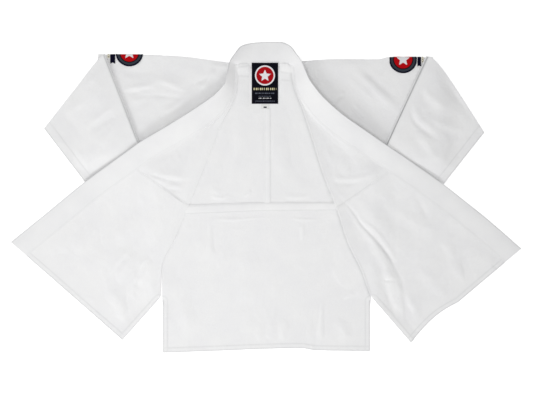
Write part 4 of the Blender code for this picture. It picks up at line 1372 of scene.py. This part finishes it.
def label_design(x, y):
    """The neck label from above, x and y from its middle."""
    colours = painted(x.shape, LABEL_COLOURS["navy"])
    frame_off = np.maximum(np.abs(x) - 36.6, np.abs(y) - 56.6)
    colours[frame_off > 0.0] = linear(LABEL_COLOURS["white"])
    round_off = np.hypot(x, y - 21.5)
    colours[round_off < 27.5] = linear(LABEL_COLOURS["white"])
    colours[round_off < 23.8] = linear(LABEL_COLOURS["red"])
    colours[star(x, y - 20.5, 17.0)] = linear(LABEL_COLOURS["white"])
    colours[dashes(x, y, -15.5, 6.0, 31.0, 5.6, 0.72)] = linear(LABEL_COLOURS["cream"])
    colours[dashes(x, y, -27.5, 2.4, 27.0, 3.4, 0.7)] = linear(LABEL_COLOURS["grey"])
    colours[dashes(x, y, -35.5, 1.8, 17.0, 2.6, 0.7)] = linear(LABEL_COLOURS["grey"])
    colours[dashes(x, y, -41.0, 2.6, 17.0, 4.0, 0.66)] = linear(LABEL_COLOURS["white"])
    colours[dashes(x, y, -49.0, 0.9, 27.0, 1.9, 0.8)] = linear(LABEL_COLOURS["grey"])
    return colours


def make_label(finishes):
    left, right, low, high = LABEL_BOX
    x = spaced(left, right, 0.74)[:, None]
    y = spaced(low, high, 0.74)[None, :]
    x, y = np.broadcast_arrays(x, y)
    edge = np.minimum(np.minimum(x - left, right - x), np.minimum(y - low, high - y))
    middle = ((left + right) / 2, (low + high) / 2)
    soft = 0.5 * smooth(edge / 9.0) * (1.0 + 0.5 * np.sin(x / 9.0) * np.sin(y / 13.0 + 1.0))
    raised = label_design_relief(x - middle[0], y - middle[1])
    z = label_height(x, y) + 0.35 + soft + raised
    points = np.stack([x, y, z], axis=2)
    obj = grid_piece("neck_label_cloth", points)
    px, py = places_of(obj)
    colour_points(obj, label_design(px - middle[0], py - middle[1]))
    thicken(obj, 0.7)
    label = finish_piece(obj, finishes["label"], ["neck_label"])
    left, right, low, high = SIZE_TAB_BOX
    x = spaced(left, right, 0.8)[:, None]
    y = spaced(low, high, 0.8)[None, :]
    x, y = np.broadcast_arrays(x, y)
    z = ON_BACK + 0.25 + 0.25 * np.sin(math.pi * (x - left) / (right - left)) * (high - y) / (high - low)
    obj = grid_piece("size_tab_cloth", np.stack([x, y, z], axis=2))
    px, py = places_of(obj)
    colours = painted(px.shape, "E6E6E4")
    mark = (np.abs(py - 246.8) < 2.2) & (np.abs(px + 1.0) < 4.2)
    colours[mark] = linear("2B2D36")
    colour_points(obj, colours)
    thicken(obj, 0.5)
    finish_piece(obj, finishes["label"], ["size_tab"])
    return label


def label_design_relief(x, y):
    """The woven figure stands a little above the ground weave."""
    round_off = np.hypot(x, y - 21.5)
    ring = np.exp(-(((round_off - 25.6) / 1.6) ** 2))
    return 0.22 * ring


PATCH_COLOURS = {"rim": "08081F", "ring": "343A42", "line": "0A0A10", "field": "B2060F", "figure": "E2E2E4"}


def patch_design(x, y):
    off = np.hypot(x, y)
    colours = painted(x.shape, PATCH_COLOURS["rim"])
    colours[off < 34.0] = linear(PATCH_COLOURS["ring"])
    colours[off < 27.6] = linear(PATCH_COLOURS["line"])
    colours[off < 25.0] = linear(PATCH_COLOURS["field"])
    colours[star(x, y, 19.0)] = linear(PATCH_COLOURS["figure"])
    return colours


def patch_relief(x, y):
    off = np.hypot(x, y)
    rim = 0.45 * np.exp(-(((off - 35.6) / 1.9) ** 2))
    return rim + 0.16 * np.exp(-(((off - 26.4) / 1.2) ** 2))


def make_patches(side, finishes):
    patch = ROUND_PATCH[side]
    radius = patch["radius"]
    half = math.sqrt(radius**2 - min(patch["down"], 0.0) ** 2) * 0.98
    turn = np.linspace(0.0, math.pi, 98)
    x = (patch["middle"] - half * np.cos(turn))[:, None]
    reach = patch["down"] + np.sqrt(radius**2 - (x - patch["middle"]) ** 2)
    down = np.maximum(reach, 1.0) * np.linspace(0.0, 1.0, 70)[None, :]
    x = np.broadcast_to(x, down.shape)
    from_middle = patch["down"] - down
    lift = GAP + 0.4 + patch_relief(x - patch["middle"], from_middle)
    points = on_sleeve_top(side, x, down, lift)
    obj = grid_piece(f"round_patch_{side}_cloth", points, keep={"off_x": x - patch["middle"], "off_y": from_middle})
    kept = kept_values(obj)
    colour_points(obj, patch_design(kept["off_x"], kept["off_y"]))
    thicken(obj, 0.8)
    finish_piece(obj, finishes["patch"], [f"round_patch_{side}"])
    for name, stripe in STRIPES[side].items():
        wide = stripe["to_x"] - stripe["from_x"]
        u = np.linspace(0.0, 1.0, 19)[:, None]
        x = stripe["from_x"] + wide * u
        notch = 0.28 * wide * (1.0 - np.abs(2 * u - 1.0)) if name == "wide" else 0.0 * u
        down = (stripe["down"] - notch) * np.linspace(0.0, 1.0, 44)[None, :]
        x = np.broadcast_to(x, down.shape)
        points = on_sleeve_top(side, x, down, GAP + 0.4 + 0.0 * x)
        middle = stripe["from_x"] + wide / 2
        obj = grid_piece(f"{name}_stripe_{side}_cloth", points, keep={"off_x": x - middle, "off_y": down})
        kept = kept_values(obj)
        if name == "wide":
            colours = painted(kept["off_x"].shape, PATCH_COLOURS["rim"])
        else:
            colours = painted(kept["off_x"].shape, "DAD5C0")
            marks = (np.mod(kept["off_y"], 7.0) < 2.2) & (np.abs(kept["off_x"]) < wide * 0.24)
            colours[marks] = linear("2A2C36")
        colour_points(obj, colours)
        thicken(obj, 0.8)
        finish_piece(obj, finishes["patch"], [f"{name}_stripe_{side}"])


# ---- stitches


def walk(path, pitch):
    """Places and directions along a path, one pitch apart."""
    points = np.array(path, float)
    steps = np.linalg.norm(np.diff(points, axis=0), axis=1)
    at = np.concatenate([[0.0], np.cumsum(steps)])
    stops = np.arange(pitch / 2, at[-1], pitch)
    place = np.stack([np.interp(stops, at, points[:, k]) for k in range(points.shape[1])], axis=1)
    ahead = np.stack([np.interp(stops + 1.0, at, points[:, k]) for k in range(points.shape[1])], axis=1)
    behind = np.stack([np.interp(stops - 1.0, at, points[:, k]) for k in range(points.shape[1])], axis=1)
    return place, ahead - behind


STITCH_PITCH = 4.2
STITCH_LONG = 3.3
STITCH_SECTIONS = ((-0.5, 0.12, -0.25), (0.0, 0.42, 0.14), (0.5, 0.12, -0.25))
STITCH_SIDES = 5


def stitched(name, cloths, paths, finishes, pitch=STITCH_PITCH):
    """Rows of thread on the top of these cloths, along paths seen from above."""
    trees = []
    for obj in cloths:
        trees.append(BVHTree.FromObject(obj, bpy.context.evaluated_depsgraph_get()))
    vertices = []
    faces = []
    for path in paths:
        places, ways = walk(path, pitch)
        for place, way in zip(places, ways):
            found = None
            start = Vector(((place[0] - ORIGIN[0]) * MM, (place[1] - ORIGIN[1]) * MM, 0.2))
            for tree in trees:
                hit, normal, _, _ = tree.ray_cast(start, Vector((0.0, 0.0, -1.0)))
                if hit is not None and (found is None or hit.z > found[0].z):
                    found = (hit, normal)
            if found is None or np.linalg.norm(way) < 0.1:
                continue
            hit, normal = found
            along = Vector((way[0], way[1], 0.0))
            along = (along - normal * along.dot(normal)).normalized()
            side = normal.cross(along)
            first = len(vertices)
            for share, radius, lift in STITCH_SECTIONS:
                middle = hit + along * (share * STITCH_LONG * pitch / STITCH_PITCH * MM) + normal * (lift * MM)
                for k in range(STITCH_SIDES):
                    angle = math.tau * k / STITCH_SIDES
                    out = side * math.cos(angle) + normal * math.sin(angle)
                    vertices.append(middle + out * (radius * MM))
            for ring in range(len(STITCH_SECTIONS) - 1):
                for k in range(STITCH_SIDES):
                    a = first + ring * STITCH_SIDES + k
                    b = first + ring * STITCH_SIDES + (k + 1) % STITCH_SIDES
                    faces.append((a, b, b + STITCH_SIDES, a + STITCH_SIDES))
            last = first + (len(STITCH_SECTIONS) - 1) * STITCH_SIDES
            faces.append(tuple(range(first + STITCH_SIDES - 1, first - 1, -1)))
            faces.append(tuple(range(last, last + STITCH_SIDES)))
    mesh = bpy.data.meshes.new(name)
    mesh.from_pydata([tuple(v) for v in vertices], [], faces)
    obj = bpy.data.objects.new(name, mesh)
    bpy.context.scene.collection.objects.link(obj)
    work = bmesh.new()
    work.from_mesh(mesh)
    bmesh.ops.recalc_face_normals(work, faces=work.faces)
    work.to_mesh(mesh)
    work.free()
    return finish_piece(obj, finishes["thread"], [], sharp=80.0)


def inset(path, by):
    """A path moved to its left by this much, and shortened as much at both ends."""
    points = np.array(path, float)
    way = np.gradient(points, axis=0)
    way /= np.linalg.norm(way, axis=1)[:, None]
    moved = points + np.stack([-way[:, 1], way[:, 0]], axis=1) * by
    steps = np.concatenate([[0.0], np.cumsum(np.linalg.norm(np.diff(moved, axis=0), axis=1))])
    cut = abs(by)
    keep = (steps > cut) & (steps < steps[-1] - cut)
    ends = [[np.interp(at, steps, moved[:, k]) for k in (0, 1)] for at in (cut, steps[-1] - cut)]
    return np.concatenate([[ends[0]], moved[keep], [ends[1]]])


def make_stitching(pieces, finishes):
    row = HEM_FOLD - 1.6
    hem_x = np.linspace(HEM_TABLE["x"][0], HEM_TABLE["x"][-1], 60)
    hem = np.stack([hem_x, through(HEM_TABLE["x"], HEM_TABLE["y"], hem_x)], axis=1)
    left = ((HEM_TABLE["x"][0], VENT_Y), (HEM_TABLE["x"][0], -400.0), (HEM_TABLE["x"][0], -428.0))
    right = ((HEM_TABLE["x"][-1], -423.5), (HEM_TABLE["x"][-1], -400.0), (HEM_TABLE["x"][-1], VENT_Y))
    skirt = pieces["back"]["skirt"]
    stitched("hem_stitches_back", [skirt], [inset(p, row) for p in (hem, left, right)], finishes)
    tape = pieces["tapes"]["waist"]
    x = spaced(-252.0, 255.0, 10.0)
    rows = []
    for f in (0.12, 0.88):
        low = through(TAPE_TABLE["x"], TAPE_TABLE["bottom"], x)
        high = through(TAPE_TABLE["x"], TAPE_TABLE["top"], x)
        rows.append(np.stack([x, low + (high - low) * f], axis=1))
    stitched("waist_tape_stitches", [tape], rows, finishes, 3.4)
    rows = [((CENTRE_X + hand * 6.1, -12.0), (CENTRE_X + hand * 6.1, 240.0)) for hand in (-1, 1)]
    stitched("centre_tape_stitches", [pieces["tapes"]["centre"]], rows, finishes, 3.4)
    for side in SIDES:
        knots = FRONT_KNOTS[side]
        hand = 1.0 if side == "left" else -1.0
        vent = roll_path(side, knots[VENT_ROW] + 6.0, knots[-1])
        rows = [inset(vent, -hand * row), inset(hem_path(side), -hand * row)]
        cloths = [pieces["front_" + side]["skirt"]]
        stitched(f"hem_stitches_front_{side}", cloths, rows, finishes)
        seam = np.array(waist_seam(side))
        rows = [inset(np.linspace(seam[0], seam[1], 12), hand * 5.5)]
        cloths = [pieces["front_" + side]["upper"], pieces["front_" + side]["skirt"]]
        stitched(f"waist_stitches_front_{side}", cloths, rows, finishes)
        cuff = np.linspace(SLEEVE[side]["cuff_top"], SLEEVE[side]["cuff_low"], 12)
        rows = [inset(cuff, hand * (CUFF_HEM - 1.8))]
        stitched(f"cuff_stitches_{side}", [pieces["sleeve_" + side]], rows, finishes)
    rows = []
    s = spaced(4.0, BAND_LONG - 4.0, 6.0)
    for f in BAND_STITCHES:
        rows.append(band_middle(s, np.full(len(s), f))[:, :2])
    stitched("collar_band_stitches", [pieces["band"]], rows, finishes)


# ---- stage, light and camera


def make_stage():
    bpy.ops.object.select_all(action="DESELECT")
    bpy.ops.mesh.primitive_plane_add(size=40.0, location=(0.0, 0.0, -0.0006))
    floor = bpy.context.active_object
    floor.name = "floor"
    made = bpy.data.materials.new("white_floor")
    made.use_nodes = True
    shader = made.node_tree.nodes["Principled BSDF"]
    shader.inputs["Base Color"].default_value = linear("F6F6F6")
    shader.inputs["Roughness"].default_value = 0.9
    shader.inputs["Specular IOR Level"].default_value = 0.1
    shader.inputs["Emission Color"].default_value = (1.0, 1.0, 1.0, 1.0)
    shader.inputs["Emission Strength"].default_value = 0.42
    floor.data.materials.append(made)


def area_light(name, place, size, energy):
    light = bpy.data.lights.new(name, "AREA")
    light.shape = "DISK"
    light.size = size
    light.energy = energy
    obj = bpy.data.objects.new(name, light)
    bpy.context.scene.collection.objects.link(obj)
    obj.location = place
    obj.rotation_mode = "QUATERNION"
    obj.rotation_quaternion = (-Vector(place)).to_track_quat("-Z", "Y")
    obj.visible_camera = False


def make_light():
    world = bpy.data.worlds.new("soft_studio")
    world.use_nodes = True
    sky = world.node_tree.nodes["Background"]
    sky.inputs["Color"].default_value = (1.0, 1.0, 1.0, 1.0)
    sky.inputs["Strength"].default_value = 0.62
    bpy.context.scene.world = world
    area_light("key_light", (-0.9, -3.0, 1.45), 0.7, 38.0)
    area_light("side_light", (-3.0, -0.9, 1.5), 1.2, 9.0)
    area_light("centre_light", (-0.25, 0.05, 1.2), 0.5, 2.7)


def make_camera():
    data = bpy.data.cameras.new("view")
    data.lens = 85.0
    data.sensor_width = 36.0
    data.clip_end = 100.0
    obj = bpy.data.objects.new("view", data)
    bpy.context.scene.collection.objects.link(obj)
    obj.location = (0.00125, -0.00725, 3.4615)
    bpy.context.scene.camera = obj
    bpy.context.scene.view_settings.view_transform = "Standard"


def main():
    make_camera()
    finishes = make_materials()
    pieces = {"back": make_back(finishes), "tapes": make_tapes(finishes)}
    for side in SIDES:
        pieces["front_" + side] = make_front(side, finishes)
        pieces["sleeve_" + side] = make_sleeve(side, finishes)
        make_patches(side, finishes)
    pieces["band"] = make_band(finishes)
    pieces["label"] = make_label(finishes)
    make_stitching(pieces, finishes)
    make_stage()
    make_light()


main()
